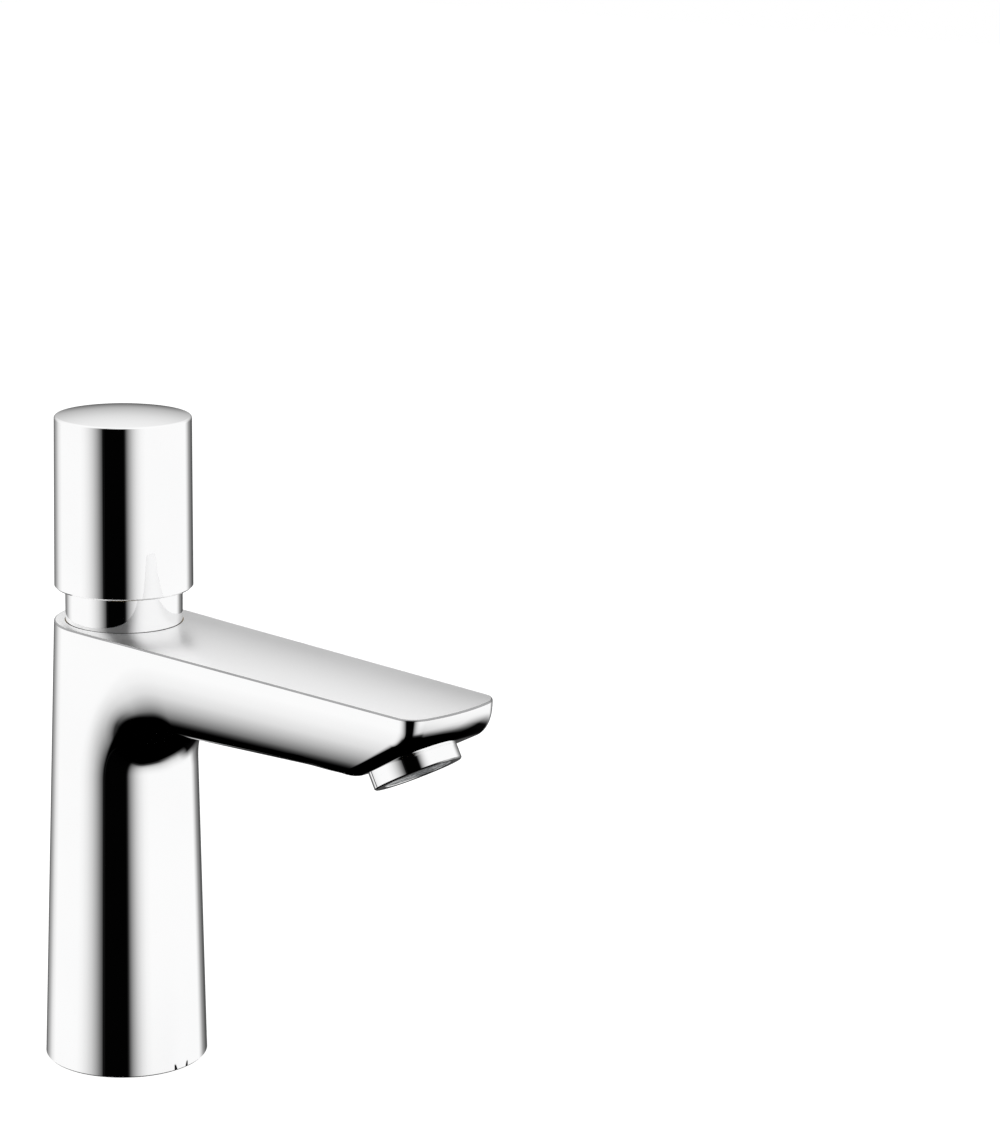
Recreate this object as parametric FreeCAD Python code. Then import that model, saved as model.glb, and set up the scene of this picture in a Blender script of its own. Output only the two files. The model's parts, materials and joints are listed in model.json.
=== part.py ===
"""Single-hole basin mixer tap with a push-and-turn cap, as separate solids in millimetres.

The origin is the centre of the base's underside, +Z is up and the spout points along -Y.
"""

import FreeCAD
import Part
import math
import os

V = FreeCAD.Vector

# Overall form of the column and spout
BASE_R = 23.9
COLUMN_TOP_R = 20.2
TOP_Z = 132.4
TOP_FALL_DEG = 0.5
BASE_CHAMFER = 0.4
SPOUT_REACH = 132.6
TIP_HALF_WIDTH = 17.3
FRONT_PLAN_R = 60.0
FRONT_SIDE_R = 18.6
FRONT_LEAN_DEG = 5.0
FLANK_R = 53.0
ROOT_DEPTH = 26.5
UNDER_RISE_DEG = 2.9
FRONT_UNDER_DEG = 52.0
BEND_R = 10.0
CORNER_R = 6.0
LOWER_EDGE_R = 5.0
THROAT_R = 18.5
TOP_EDGE_R = 0.4

# Water outlet
OUTLET_REACH = 117.2
OUTLET_Z = 110.6
OUTLET_TILT_DEG = 30.0
COLLAR_R = 12.5
COLLAR_SHOWN = 4.7
COLLAR_SUNK = 2.5
COLLAR_CHAMFER = 0.35
AERATOR_THREAD_R = 11.95
AERATOR_THREAD_LENGTH = 4.5
AERATOR_BORE_R = 10.4
AERATOR_LIP = 0.8
AERATOR_LIP_T = 0.9
INSERT_T = 4.0
SCREEN_T = 0.5
SCREEN_HOLE_R = 0.7
REGULATOR_T = 2.2
REGULATOR_HOLES = 8
REGULATOR_HOLE_R = 1.2
REGULATOR_RING_R = 7.3
WASHER_T = 1.2
WASHER_WIDTH = 2.3
JET_HOLE_R = 1.1
JET_PITCH = 2.5
JET_RINGS = 3
SCREEN_RINGS = 2

# Hollows of the casting
WELL_R = 17.6
WELL_DEPTH = 60.0
INLET_R = 4.46
INLET_DEPTH = 12.0
STUD_R = 3.4
STUD_DEPTH = 12.0
STUD_Y = -11.0
PORT_X = 7.5
PORT_Y = 3.0
PASSAGE_R = 2.8
BASE_SEAL_R = 20.9
BASE_SEAL_WIDTH = 1.6
BASE_SEAL_T = 1.5
CHAMBER_R = 14.6
CHAMBER_FLOOR_Z = 84.0
NUT_THREAD_R = 15.35
NUT_SEAT_Z = 121.0
SLEEVE_SEAT_Z = 132.1
SPOUT_WALL = 2.8
CORE_CORNER_R = 4.0
CORE_START_Y = -22.0
CORE_END_Y = -97.5
MIXED_PORT_R = 3.8
MIXED_PORT_Z = 113.4
LINK_R = 4.5
LINK_Z = 124.0

# Fits and running gaps
FIT_GAP = 0.05
SLIDE_GAP = 0.1
SQUARE_GAP = 0.1
STOP_GAP_DEG = 2.0

# Cartridge
CARTRIDGE_R = 14.5
CARTRIDGE_BASE_T = 4.5
FIXED_DISC_R = 12.0
DISC_RECESS = 1.5
DISC_T = 3.0
MIXING_DISC_R = 11.8
PORT_R = 2.6
PORT_SEAL_WIDTH = 1.4
PORT_SEAL_T = 1.4
SLOT_HALF_DEG = 55.0
SLOT_HALF_WIDTH = 2.2
DRIVER_T = 4.5
DRIVER_LUG_R = 1.5
DRIVER_LUG_T = 1.5
DRIVER_LUG_DEG = 60.0
DRIVER_BOSS_R = 5.0
DRIVER_BOSS_H = 4.8
DRIVER_FLOOR_T = 1.8
HOUSING_WALL = 2.3
SEAT_Z = 110.0
SEAT_T = 2.0
SEAT_HOLE_R = 4.8
WINDOW_HALF_WIDTH = 1.9
WINDOW_HALF_HEIGHT = 1.5
WINDOW_GROOVE_HALF = 1.9
WINDOW_COUNT = 8
WINDOW_Z = 114.4
WINDOW_GROOVE_DEPTH = 1.1
GUIDE_LOW_Z = 116.8
GUIDE_HIGH_Z = 123.0
NECK_R = 7.8
NECK_TOP_Z = 141.0
LATCH_BORE_R = 6.2
HOUSING_SEAL_R = 0.7
HOUSING_SEALS_Z = (101.0, 118.9)
ROD_SEAL_WIDTH = 1.8
ROD_SEAL_T = 1.8
ROD_SEAL_Z = 118.0

# Push rod and latch
ROD_R = 3.0
ROD_SQUARE = 4.0
ROD_SQUARE_TOP_Z = 178.0
ROD_SQUARE_LENGTH = 8.0
ROD_FOOT_Z = 99.4
TRAVEL = 4.0
VALVE_FLANGE_R = 7.4
VALVE_FLANGE_T = 1.8
VALVE_FLANGE_Z = 107.0
VALVE_SEAL_R = 6.2
VALVE_SEAL_WIDTH = 1.6
VALVE_SEAL_SUNK = 0.8
ROTOR_Z = 131.0
ROTOR_T = 4.0
ROTOR_HUB_R = 4.0
ROTOR_RIB_R = 4.8
ROTOR_RIB_T = 1.2
ROTOR_RIBS = 4
ROD_COLLAR_R = 3.5
ROD_COLLAR_T = 1.0
CLIP_T = 0.6
CLIP_DEPTH = 0.5
LATCH_WALL = 1.0
LATCH_CROWN_R = 3.9
LATCH_GAP = 0.4
LATCH_TOOTH_H = 1.4
LATCH_TEETH = 8
SPRING_WIRE_R = 0.6
SPRING_MEAN_R = 9.6
SPRING_TURNS = 6
SPRING_WIRE_SIDES = 6

# Clamp nut, stop ring and neck sleeve
NUT_T = 7.5
NUT_BORE_GAP = 0.4
NUT_COLLAR_R = 14.2
NUT_COLLAR_WALL = 0.9
NUT_COLLAR_H = 8.0
NUT_SLOTS = 6
NUT_SLOT_WIDTH = 3.0
NUT_SLOT_DEPTH = 2.0
STOP_RING_T = 2.0
STOP_LUG_H = 10.5
STOP_LUG_HALF_DEG = 10.0
TURN_DEG = 60.0
NECK_SLEEVE_R = 16.9
SLEEVE_TOP_Z = 152.5
SLEEVE_SEAL_WIDTH = 0.9
SLEEVE_SEAL_T = 0.7
SLEEVE_SEAL_SUNK = 0.15
SLEEVE_HOLE_GAP = 0.25
SLIDE_RING_T = 5.0
SLIDE_RING_SUNK = 0.6
SLIDE_RING_DROP = 0.8

# Cap and carrier
CAP_R = 20.0
CAP_TOP_R = 19.65
CAP_LOW_Z = 142.4
CAP_RIM_Z = 192.3
CAP_DOME = 2.0
CAP_BORE_R = 18.3
CAP_CROWN_T = 3.0
CAP_EDGE_R = 0.8
CAP_RIM_CHAMFER = 0.5
CARRIER_STEM_R = 12.9
CARRIER_STEM_WALL = 2.3
CARRIER_LOW_Z = 138.0
CARRIER_FLOOR_Z = 158.0
CARRIER_FLOOR_T = 4.0
CARRIER_HUB_R = 6.5
CARRIER_RIBS = 8
CARRIER_RIB_T = 2.0
SCREW_SEAT_Z = 181.0
SCREW_HEAD_R = 3.0
SCREW_HEAD_T = 2.4
SCREW_R = 1.5
SCREW_LENGTH = 8.0
SCREW_RECESS_R = 3.4

TOP_FALL = math.radians(TOP_FALL_DEG)
TILT = math.radians(OUTLET_TILT_DEG)
OUTLET_AXIS = V(0, math.sin(TILT), math.cos(TILT))
OUTLET_POINT = V(0, -OUTLET_REACH, OUTLET_Z)
BIG = 300.0


def disc(r, z_low, z_high, x=0.0, y=0.0):
    """Solid round from z_low to z_high."""
    return Part.makeCylinder(r, z_high - z_low, V(x, y, z_low))


def ring(r_in, r_out, z_low, z_high, x=0.0, y=0.0):
    """Solid tube from z_low to z_high."""
    return disc(r_out, z_low, z_high, x, y).cut(disc(r_in, z_low - 1, z_high + 1, x, y))


def turned(points):
    """Solid of revolution about Z of a closed outline of (radius, height) pairs."""
    outline = [V(r, 0, z) for r, z in points]
    return Part.Face(Part.makePolygon(outline + outline[:1])).revolve(V(), V(0, 0, 1), 360)


def spun(shape, degrees):
    """Copy of a shape turned about Z."""
    copy = shape.copy()
    copy.rotate(V(), V(0, 0, 1), degrees)
    return copy


def around(shape, count, start=0.0):
    """List of copies of a shape evenly spaced about Z."""
    return [spun(shape, start + i * 360.0 / count) for i in range(count)]


def wedge(r_out, z_low, z_high, middle_deg, half_deg):
    """Sector of a disc, centred on an angle from +X."""
    sector = Part.makeCylinder(r_out, z_high - z_low, V(0, 0, z_low), V(0, 0, 1), 2 * half_deg)
    return spun(sector, middle_deg - half_deg)


def square_bar(side, z_low, z_high):
    """Square bar on the Z axis."""
    return Part.makeBox(side, side, z_high - z_low, V(-side / 2, -side / 2, z_low))


def arc_to(start, corner, end):
    """Arc that leaves start toward a corner point and reaches end from it."""
    middle = (start + end) * 0.5
    to_corner = corner - middle
    half_chord = start.distanceToPoint(end) / 2
    turn = math.atan2(to_corner.Length, half_chord)
    crest = middle + to_corner * (half_chord * math.tan(turn / 2) / to_corner.Length)
    return Part.Arc(start, crest, end).toShape()


def along_outlet(shape):
    """Move a shape built about Z at the origin onto the outlet axis, with z = 0 at the outlet."""
    copy = shape.copy()
    copy.rotate(V(), V(1, 0, 0), -OUTLET_TILT_DEG)
    copy.translate(OUTLET_POINT)
    return copy


def top_z(y):
    return TOP_Z + y * math.tan(TOP_FALL)


def column_r(z):
    return BASE_R - (BASE_R - COLUMN_TOP_R) * z / TOP_Z


ROOT_Z = TOP_Z - ROOT_DEPTH
ROOT_Y = -column_r(ROOT_Z)


def under_z(y):
    return ROOT_Z + (ROOT_Y - y) * math.tan(math.radians(UNDER_RISE_DEG))


def facet_z(y):
    """Height of the flat that the outlet collar stands on."""
    foot = OUTLET_POINT + OUTLET_AXIS * COLLAR_SHOWN
    return foot.z + (foot.y - y) * math.tan(TILT)


def facet_start_y():
    """Where the spout's underside breaks into the outlet flat."""
    rise = math.tan(math.radians(UNDER_RISE_DEG))
    return (facet_z(0) - under_z(0)) / (math.tan(TILT) - rise)


def above_top():
    """Block of everything above the sloping top."""
    block = Part.makeBox(BIG, BIG, BIG, V(-BIG / 2, -BIG / 2, TOP_Z))
    block.rotate(V(0, 0, TOP_Z), V(1, 0, 0), TOP_FALL_DEG)
    return block


def below_spout():
    """Block of everything below the spout: underside, bend and outlet flat."""
    start = facet_start_y()
    rise = math.radians(UNDER_RISE_DEG)
    reach = BEND_R * math.tan((TILT - rise) / 2)
    bend_in_y = start + reach * math.cos(rise)
    bend_out_y = start - reach * math.cos(TILT)
    bend_in = V(0, bend_in_y, under_z(bend_in_y))
    bend_out = V(0, bend_out_y, facet_z(bend_out_y))
    back, ahead = BASE_R, -SPOUT_REACH - BASE_R
    points = [
        bend_out, V(0, ahead, facet_z(ahead)), V(0, ahead, 0),
        V(0, back, 0), V(0, back, under_z(back)), bend_in,
    ]
    edges = [arc_to(bend_in, V(0, start, under_z(start)), bend_out)]
    edges += [Part.makeLine(a, b) for a, b in zip(points, points[1:])]
    side = Part.Face(Part.Wire(edges))
    side.translate(V(-BIG / 2, 0, 0))
    return side.extrude(V(BIG, 0, 0))


def flank(side):
    """Large round whose skin is one flank of the spout: side is +1 or -1."""
    tip_y = front_y(TIP_HALF_WIDTH)
    line = V(side * (TIP_HALF_WIDTH - COLUMN_TOP_R), tip_y, top_z(tip_y) - TOP_Z)
    line.normalize()
    inward = V(-side, 0, 0)
    inward = inward - line * inward.dot(line)
    inward.normalize()
    start = V(side * COLUMN_TOP_R, 0, TOP_Z) + inward * FLANK_R - line * FLANK_R
    return Part.makeCylinder(FLANK_R, SPOUT_REACH + 2 * FLANK_R, start, line)


def front_y(x):
    """Front edge of the spout's top at a distance x from the middle."""
    return -SPOUT_REACH + FRONT_PLAN_R - math.sqrt(FRONT_PLAN_R ** 2 - x ** 2)


def front_round():
    """Everything behind the spout's front, which is curved in plan and from the side."""
    axis_y = -SPOUT_REACH + FRONT_PLAN_R
    lean, under = math.radians(FRONT_LEAN_DEG), math.radians(FRONT_UNDER_DEG)
    edge_z = top_z(-SPOUT_REACH)
    centre = V(0, -SPOUT_REACH + FRONT_SIDE_R * math.cos(lean), edge_z + FRONT_SIDE_R * math.sin(lean))

    def on_arc(angle):
        return centre + V(0, -math.cos(angle), -math.sin(angle)) * FRONT_SIDE_R

    first, middle, last = on_arc(lean - 0.4), on_arc(lean + 0.2), on_arc(under)
    floor_z = ROOT_Z - BEND_R
    foot = V(0, last.y + (last.z - floor_z) * math.tan(under), floor_z)
    points = [last, foot, V(0, axis_y, floor_z), V(0, axis_y, first.z), first]
    edges = [Part.Arc(first, middle, last).toShape()]
    edges += [Part.makeLine(a, b) for a, b in zip(points, points[1:])]
    nose = Part.Face(Part.Wire(edges)).revolve(V(0, axis_y, 0), V(0, 0, 1), 360)
    behind = Part.makeBox(BIG, BIG, BIG, V(-BIG / 2, axis_y, TOP_Z - BIG / 2))
    return nose.fuse(behind)


def is_flank(face):
    return isinstance(face.Surface, Part.Cylinder) and abs(face.Surface.Radius - FLANK_R) < 1e-6


def is_front(face):
    return isinstance(face.Surface, (Part.Toroid, Part.Cone))


def is_tilted_plane(face, degrees):
    """True for a plane that faces down and leans by this angle from level."""
    if not isinstance(face.Surface, Part.Plane):
        return False
    normal = face.normalAt(0, 0)
    lean = math.degrees(math.atan2(math.hypot(normal.x, normal.y), -normal.z))
    return normal.z < 0 and abs(lean - degrees) < 0.01


def is_lower(face):
    """True for the underside, the bend and the outlet flat."""
    bend = isinstance(face.Surface, Part.Cylinder) and abs(face.Surface.Radius - BEND_R) < 1e-6
    return bend or is_tilted_plane(face, UNDER_RISE_DEG) or is_tilted_plane(face, OUTLET_TILT_DEG)


def is_side(face):
    """True for the flanks, the front and the rounds between them."""
    return not is_lower(face) and not isinstance(face.Surface, Part.Plane)


def shared_edges(shape, first, second):
    """Edges between a face of the first kind and a face of the second kind."""
    found = []
    for edge in shape.Edges:
        faces = [f for f in shape.Faces if any(edge.isSame(k) for k in f.Edges)]
        pairs = [(a, b) for a in faces for b in faces if first(a) and second(b)]
        if pairs:
            found.append(edge)
    return found


def spout_hull():
    """Outer form of the spout: curved flanks and front, rounded corners and lower edges."""
    over = ROOT_DEPTH + BEND_R
    low_corner = V(-2 * BASE_R, BEND_R - 2 * SPOUT_REACH, TOP_Z - over)
    blank = Part.makeBox(4 * BASE_R, 2 * SPOUT_REACH, 2 * over, low_corner)
    hull = blank.common(flank(1)).common(flank(-1)).common(front_round()).removeSplitter().Solids[0]
    for side in (1, -1):
        corner = [e for e in shared_edges(hull, is_flank, is_front) if e.CenterOfMass.x * side > 0]
        hull = hull.makeFillet(CORNER_R, corner)
    behind = Part.makeBox(BIG, BIG, BIG, V(-BIG / 2, 0, 0))
    hull = hull.cut(below_spout()).cut(behind).cut(above_top()).Solids[0]
    return hull.makeFillet(LOWER_EDGE_R, shared_edges(hull, is_lower, is_side))


def column():
    """Outer form of the conical column, standing a little above the top plane."""
    over = 3.0
    return turned([
        (0, 0), (column_r(0) - BASE_CHAMFER, 0), (column_r(BASE_CHAMFER), BASE_CHAMFER),
        (column_r(TOP_Z + over), TOP_Z + over), (0, TOP_Z + over),
    ])


def is_column(face):
    return isinstance(face.Surface, Part.Cone) and face.BoundBox.ZLength > TOP_Z / 2


def is_top(face):
    return isinstance(face.Surface, Part.Plane) and face.normalAt(0, 0).z > 0.9


def outer_form():
    """Column and spout as one form, with the large throat fillet and the finely broken top edge."""
    form = column().fuse(spout_hull()).cut(above_top())
    throat = [e for e in shared_edges(form, is_column, lambda f: not is_column(f)) if e.BoundBox.YMax < -0.05]
    throat = [e for e in throat if e.BoundBox.ZMin > ROOT_Z - 1 and e.BoundBox.ZLength < TOP_Z / 2]
    throat = [e for e in throat if e.BoundBox.ZMin < TOP_Z - 2]
    form = form.makeFillet(THROAT_R, throat)
    return form.makeFillet(TOP_EDGE_R, shared_edges(form, is_top, lambda f: not is_top(f)))


def top_half_width(y):
    """Half width of the spout's top at a distance y along it."""
    tip_y = front_y(TIP_HALF_WIDTH)
    return COLUMN_TOP_R + (TIP_HALF_WIDTH - COLUMN_TOP_R) * y / tip_y


def core_section(y):
    """Closed outline of the spout's water way, one wall inside its skin."""
    high = top_z(y) - SPOUT_WALL
    low = under_z(y) + SPOUT_WALL
    drop = top_z(y) - low
    wide = top_half_width(y) - SPOUT_WALL
    narrow = wide - (FLANK_R - math.sqrt(FLANK_R ** 2 - drop ** 2))
    outline = [V(-wide, y, high), V(wide, y, high), V(narrow, y, low), V(-narrow, y, low)]
    return Part.makePolygon(outline + outline[:1])


def spout_core():
    core = Part.makeLoft([core_section(CORE_START_Y), core_section(CORE_END_Y)], True, True)
    lengthwise = [e for e in core.Edges if e.BoundBox.YLength > abs(CORE_END_Y - CORE_START_Y) - 1]
    return core.makeFillet(CORE_CORNER_R, lengthwise)


COLLAR_TOP = COLLAR_SHOWN + COLLAR_SUNK
AERATOR_TOP = COLLAR_TOP + AERATOR_THREAD_LENGTH
SOCKET_DEPTH = AERATOR_TOP + WASHER_T


def outlet_socket():
    """Stepped hole for the aerator, from the outlet plane inward."""
    collar_r, thread_r = COLLAR_R + FIT_GAP, AERATOR_THREAD_R + FIT_GAP
    steps = turned([
        (0, 0), (collar_r, 0), (collar_r, COLLAR_TOP),
        (thread_r, COLLAR_TOP), (thread_r, SOCKET_DEPTH), (0, SOCKET_DEPTH),
    ])
    return along_outlet(spun(steps, 90))


def tap_body():
    """Casting: column, spout, hose well, inlets, cartridge chamber, water way and outlet socket."""
    groove_in = BASE_SEAL_R - BASE_SEAL_WIDTH / 2
    link_end = (OUTLET_POINT + OUTLET_AXIS * SOCKET_DEPTH).y
    mixed_port = Part.makeCylinder(MIXED_PORT_R, -CORE_START_Y, V(0, -1, MIXED_PORT_Z), V(0, -1, 0))
    link = Part.makeCylinder(LINK_R, CORE_END_Y - link_end + 3, V(0, CORE_END_Y + 1, LINK_Z), V(0, -1, 0))
    cuts = [
        disc(WELL_R, -1, WELL_DEPTH),
        ring(groove_in, groove_in + BASE_SEAL_WIDTH, -1, BASE_SEAL_T),
        disc(STUD_R, WELL_DEPTH - 1, WELL_DEPTH + STUD_DEPTH, 0, STUD_Y),
        disc(CHAMBER_R, CHAMBER_FLOOR_Z, NUT_SEAT_Z + 1),
        disc(NUT_THREAD_R + FIT_GAP, NUT_SEAT_Z, TOP_Z + 5),
        disc(NECK_SLEEVE_R + SLEEVE_HOLE_GAP, SLEEVE_SEAT_Z, TOP_Z + 5),
        spout_core(), mixed_port, link, outlet_socket(),
    ]
    for side in (1, -1):
        cuts.append(disc(INLET_R, WELL_DEPTH - 1, WELL_DEPTH + INLET_DEPTH, side * PORT_X, PORT_Y))
        cuts.append(disc(PASSAGE_R, WELL_DEPTH, CHAMBER_FLOOR_Z + 1, side * PORT_X, PORT_Y))
    body = outer_form()
    for hollow in cuts:
        body = body.cut(hollow)
    return body.Solids[0]


def base_seal():
    """Rubber ring between the base and the basin."""
    return ring(BASE_SEAL_R - BASE_SEAL_WIDTH / 2, BASE_SEAL_R + BASE_SEAL_WIDTH / 2, 0, BASE_SEAL_T)


BASE_TOP = CHAMBER_FLOOR_Z + CARTRIDGE_BASE_T
FIXED_DISC_Z = BASE_TOP - DISC_RECESS
MIXING_DISC_Z = FIXED_DISC_Z + DISC_T
DRIVER_Z = MIXING_DISC_Z + DISC_T
DRIVER_TOP = DRIVER_Z + DRIVER_T
SLOT_R = math.hypot(PORT_X, PORT_Y)
HOUSING_BORE_R = CARTRIDGE_R - HOUSING_WALL


def cartridge_base():
    """Floor of the cartridge, with the two inlets and the seat of the fixed disc."""
    cuts = [disc(FIXED_DISC_R + FIT_GAP, FIXED_DISC_Z, BASE_TOP + 1)]
    seal_r = PASSAGE_R + PORT_SEAL_WIDTH
    for side in (1, -1):
        cuts.append(disc(PASSAGE_R, CHAMBER_FLOOR_Z - 1, BASE_TOP, side * PORT_X, PORT_Y))
        cuts.append(disc(seal_r, CHAMBER_FLOOR_Z - 1, CHAMBER_FLOOR_Z + PORT_SEAL_T, side * PORT_X, PORT_Y))
    return disc(CARTRIDGE_R, CHAMBER_FLOOR_Z, BASE_TOP).cut(cuts)


def inlet_seals():
    """Two rubber rings under the cartridge, one round each inlet."""
    low, high = CHAMBER_FLOOR_Z, CHAMBER_FLOOR_Z + PORT_SEAL_T
    seal_r = PASSAGE_R + PORT_SEAL_WIDTH
    return Part.makeCompound([ring(PASSAGE_R, seal_r, low, high, side * PORT_X, PORT_Y) for side in (1, -1)])


def fixed_disc():
    """Ceramic disc with the hot and the cold port."""
    ports = [disc(PORT_R, FIXED_DISC_Z - 1, MIXING_DISC_Z + 1, side * PORT_X, PORT_Y) for side in (1, -1)]
    return disc(FIXED_DISC_R, FIXED_DISC_Z, MIXING_DISC_Z).cut(ports)


def mixing_slot(z_low, z_high):
    """Curved slot at the back that shares itself between the two ports as it turns."""
    band = ring(SLOT_R - SLOT_HALF_WIDTH, SLOT_R + SLOT_HALF_WIDTH, z_low, z_high)
    return band.common(wedge(CARTRIDGE_R, z_low, z_high, 90, SLOT_HALF_DEG))


def drive_lugs(r, z_low, z_high):
    """Two round lugs near the edge of the turning discs."""
    lugs = []
    for angle in (-90 - DRIVER_LUG_DEG / 2, -90 + DRIVER_LUG_DEG / 2):
        place = math.radians(angle)
        reach = MIXING_DISC_R - 2 * DRIVER_LUG_R
        lugs.append(disc(r, z_low, z_high, reach * math.cos(place), reach * math.sin(place)))
    return lugs


def mixing_disc():
    """Ceramic disc that turns on the fixed one."""
    plain = disc(MIXING_DISC_R, MIXING_DISC_Z, DRIVER_Z)
    notches = drive_lugs(DRIVER_LUG_R + FIT_GAP, DRIVER_Z - DRIVER_LUG_T - FIT_GAP, DRIVER_Z + 1)
    return plain.cut([mixing_slot(MIXING_DISC_Z - 1, DRIVER_Z + 1)] + notches)


def disc_driver():
    """Plate that turns the mixing disc, with a square socket for the push rod."""
    boss_top = DRIVER_TOP + DRIVER_BOSS_H
    plate = disc(MIXING_DISC_R, DRIVER_Z, DRIVER_TOP)
    boss = disc(DRIVER_BOSS_R, DRIVER_TOP, boss_top)
    lugs = drive_lugs(DRIVER_LUG_R, DRIVER_Z - DRIVER_LUG_T, DRIVER_Z + 1)
    socket = square_bar(ROD_SQUARE + 2 * SQUARE_GAP, DRIVER_Z + DRIVER_FLOOR_T, boss_top + 1)
    return plate.fuse([boss] + lugs).cut([mixing_slot(DRIVER_Z - 1, DRIVER_TOP + 1), socket]).removeSplitter()


def rod_seal():
    return ring(ROD_R + FIT_GAP, ROD_R + ROD_SEAL_WIDTH, ROD_SEAL_Z, ROD_SEAL_Z + ROD_SEAL_T)


def cartridge_housing():
    """Fixed shell of the cartridge: valve seat, outlet windows, rod guide and neck."""
    shell = disc(CARTRIDGE_R, BASE_TOP, NUT_SEAT_Z).fuse(disc(NECK_R, NUT_SEAT_Z, NECK_TOP_Z))
    window = Part.makeBox(CARTRIDGE_R, 2 * WINDOW_HALF_WIDTH, 2 * WINDOW_HALF_HEIGHT)
    window.translate(V(HOUSING_BORE_R - 1, -WINDOW_HALF_WIDTH, WINDOW_Z - WINDOW_HALF_HEIGHT))
    seal_depth = 2 * HOUSING_SEAL_R + 2 * FIT_GAP
    half = seal_depth / 2
    grooves = [ring(CHAMBER_R - seal_depth, CARTRIDGE_R + 1, z - half, z + half) for z in HOUSING_SEALS_Z]
    groove_low, groove_high = WINDOW_Z - WINDOW_GROOVE_HALF, WINDOW_Z + WINDOW_GROOVE_HALF
    grooves.append(ring(CARTRIDGE_R - WINDOW_GROOVE_DEPTH, CARTRIDGE_R + 1, groove_low, groove_high))
    hollows = [
        disc(HOUSING_BORE_R, BASE_TOP - 1, SEAT_Z),
        disc(SEAT_HOLE_R, SEAT_Z - 1, SEAT_Z + SEAT_T + 1),
        disc(HOUSING_BORE_R, SEAT_Z + SEAT_T, GUIDE_LOW_Z),
        disc(ROD_R + FIT_GAP, GUIDE_LOW_Z - 1, GUIDE_HIGH_Z + 1),
        disc(ROD_R + ROD_SEAL_WIDTH, ROD_SEAL_Z, ROD_SEAL_Z + ROD_SEAL_T),
        disc(LATCH_BORE_R, GUIDE_HIGH_Z, NECK_TOP_Z + 1),
    ]
    return shell.cut(hollows + grooves + around(window, WINDOW_COUNT)).removeSplitter()


def housing_seals():
    """Two rings of square section that seal the cartridge in its chamber."""
    outer = CHAMBER_R - FIT_GAP / 2
    inner = outer - 2 * HOUSING_SEAL_R
    seals = [ring(inner, outer, z - HOUSING_SEAL_R, z + HOUSING_SEAL_R) for z in HOUSING_SEALS_Z]
    return Part.makeCompound(seals)


CLIP_Z = ROTOR_Z + ROTOR_T + FIT_GAP


def push_rod():
    """Rod from the cap to the valve: square ends, valve flange and the collar under the latch rotor."""
    screw_hole = disc(SCREW_R + FIT_GAP, SCREW_SEAT_Z - SCREW_LENGTH - 1, ROD_SQUARE_TOP_Z + 1)
    seal_in = VALVE_SEAL_R - VALVE_SEAL_WIDTH / 2
    seal_out = VALVE_SEAL_R + VALVE_SEAL_WIDTH / 2
    flange_top = VALVE_FLANGE_Z + VALVE_FLANGE_T
    pieces = [
        square_bar(ROD_SQUARE, ROD_FOOT_Z, VALVE_FLANGE_Z),
        disc(VALVE_FLANGE_R, VALVE_FLANGE_Z, flange_top),
        disc(ROD_COLLAR_R, ROTOR_Z - ROD_COLLAR_T, ROTOR_Z),
        square_bar(ROD_SQUARE, ROD_SQUARE_TOP_Z - ROD_SQUARE_LENGTH, ROD_SQUARE_TOP_Z),
    ]
    rod = disc(ROD_R, VALVE_FLANGE_Z, ROD_SQUARE_TOP_Z - ROD_SQUARE_LENGTH).fuse(pieces)
    grooves = [
        ring(seal_in, seal_out, flange_top - VALVE_SEAL_SUNK, flange_top + 1),
        ring(ROD_R - CLIP_DEPTH, ROD_R + 1, CLIP_Z, CLIP_Z + CLIP_T),
    ]
    return rod.cut([screw_hole] + grooves).removeSplitter()


def valve_seal():
    """Rubber face seal that closes the seat from below while the cap is up."""
    low = VALVE_FLANGE_Z + VALVE_FLANGE_T - VALVE_SEAL_SUNK
    half = VALVE_SEAL_WIDTH / 2
    return ring(VALVE_SEAL_R - half, VALVE_SEAL_R + half, low, SEAT_Z - FIT_GAP)


def rotor_clip():
    """Open spring clip in the rod's groove that keeps the rotor on its collar."""
    mouth = square_bar(ROD_R, CLIP_Z - 1, CLIP_Z + CLIP_T + 1)
    mouth.translate(V(ROD_R, 0, 0))
    return ring(ROD_R - CLIP_DEPTH, ROD_COLLAR_R, CLIP_Z, CLIP_Z + CLIP_T).cut(mouth)


def latch_rotor():
    """Ribbed ring that turns an eighth of a turn with each push."""
    rib = Part.makeBox(ROTOR_RIB_R, ROTOR_RIB_T, ROTOR_T, V(0, -ROTOR_RIB_T / 2, ROTOR_Z))
    rib = rib.common(disc(ROTOR_RIB_R, ROTOR_Z, ROTOR_Z + ROTOR_T))
    blank = disc(ROTOR_HUB_R, ROTOR_Z, ROTOR_Z + ROTOR_T).fuse(around(rib, ROTOR_RIBS, 180 / ROTOR_RIBS))
    return blank.cut(disc(ROD_R + FIT_GAP, ROTOR_Z - 1, ROTOR_Z + ROTOR_T + 1)).removeSplitter()


def crown_tooth(root_z, tip_z):
    """One saw tooth of the latch crowns, from its root height to its tip height."""
    half = math.pi * ROTOR_RIB_R / LATCH_TEETH
    outline = [V(0, -half, root_z), V(0, half, root_z), V(0, half, tip_z)]
    return Part.Face(Part.makePolygon(outline + outline[:1])).extrude(V(LATCH_BORE_R, 0, 0))


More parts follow.
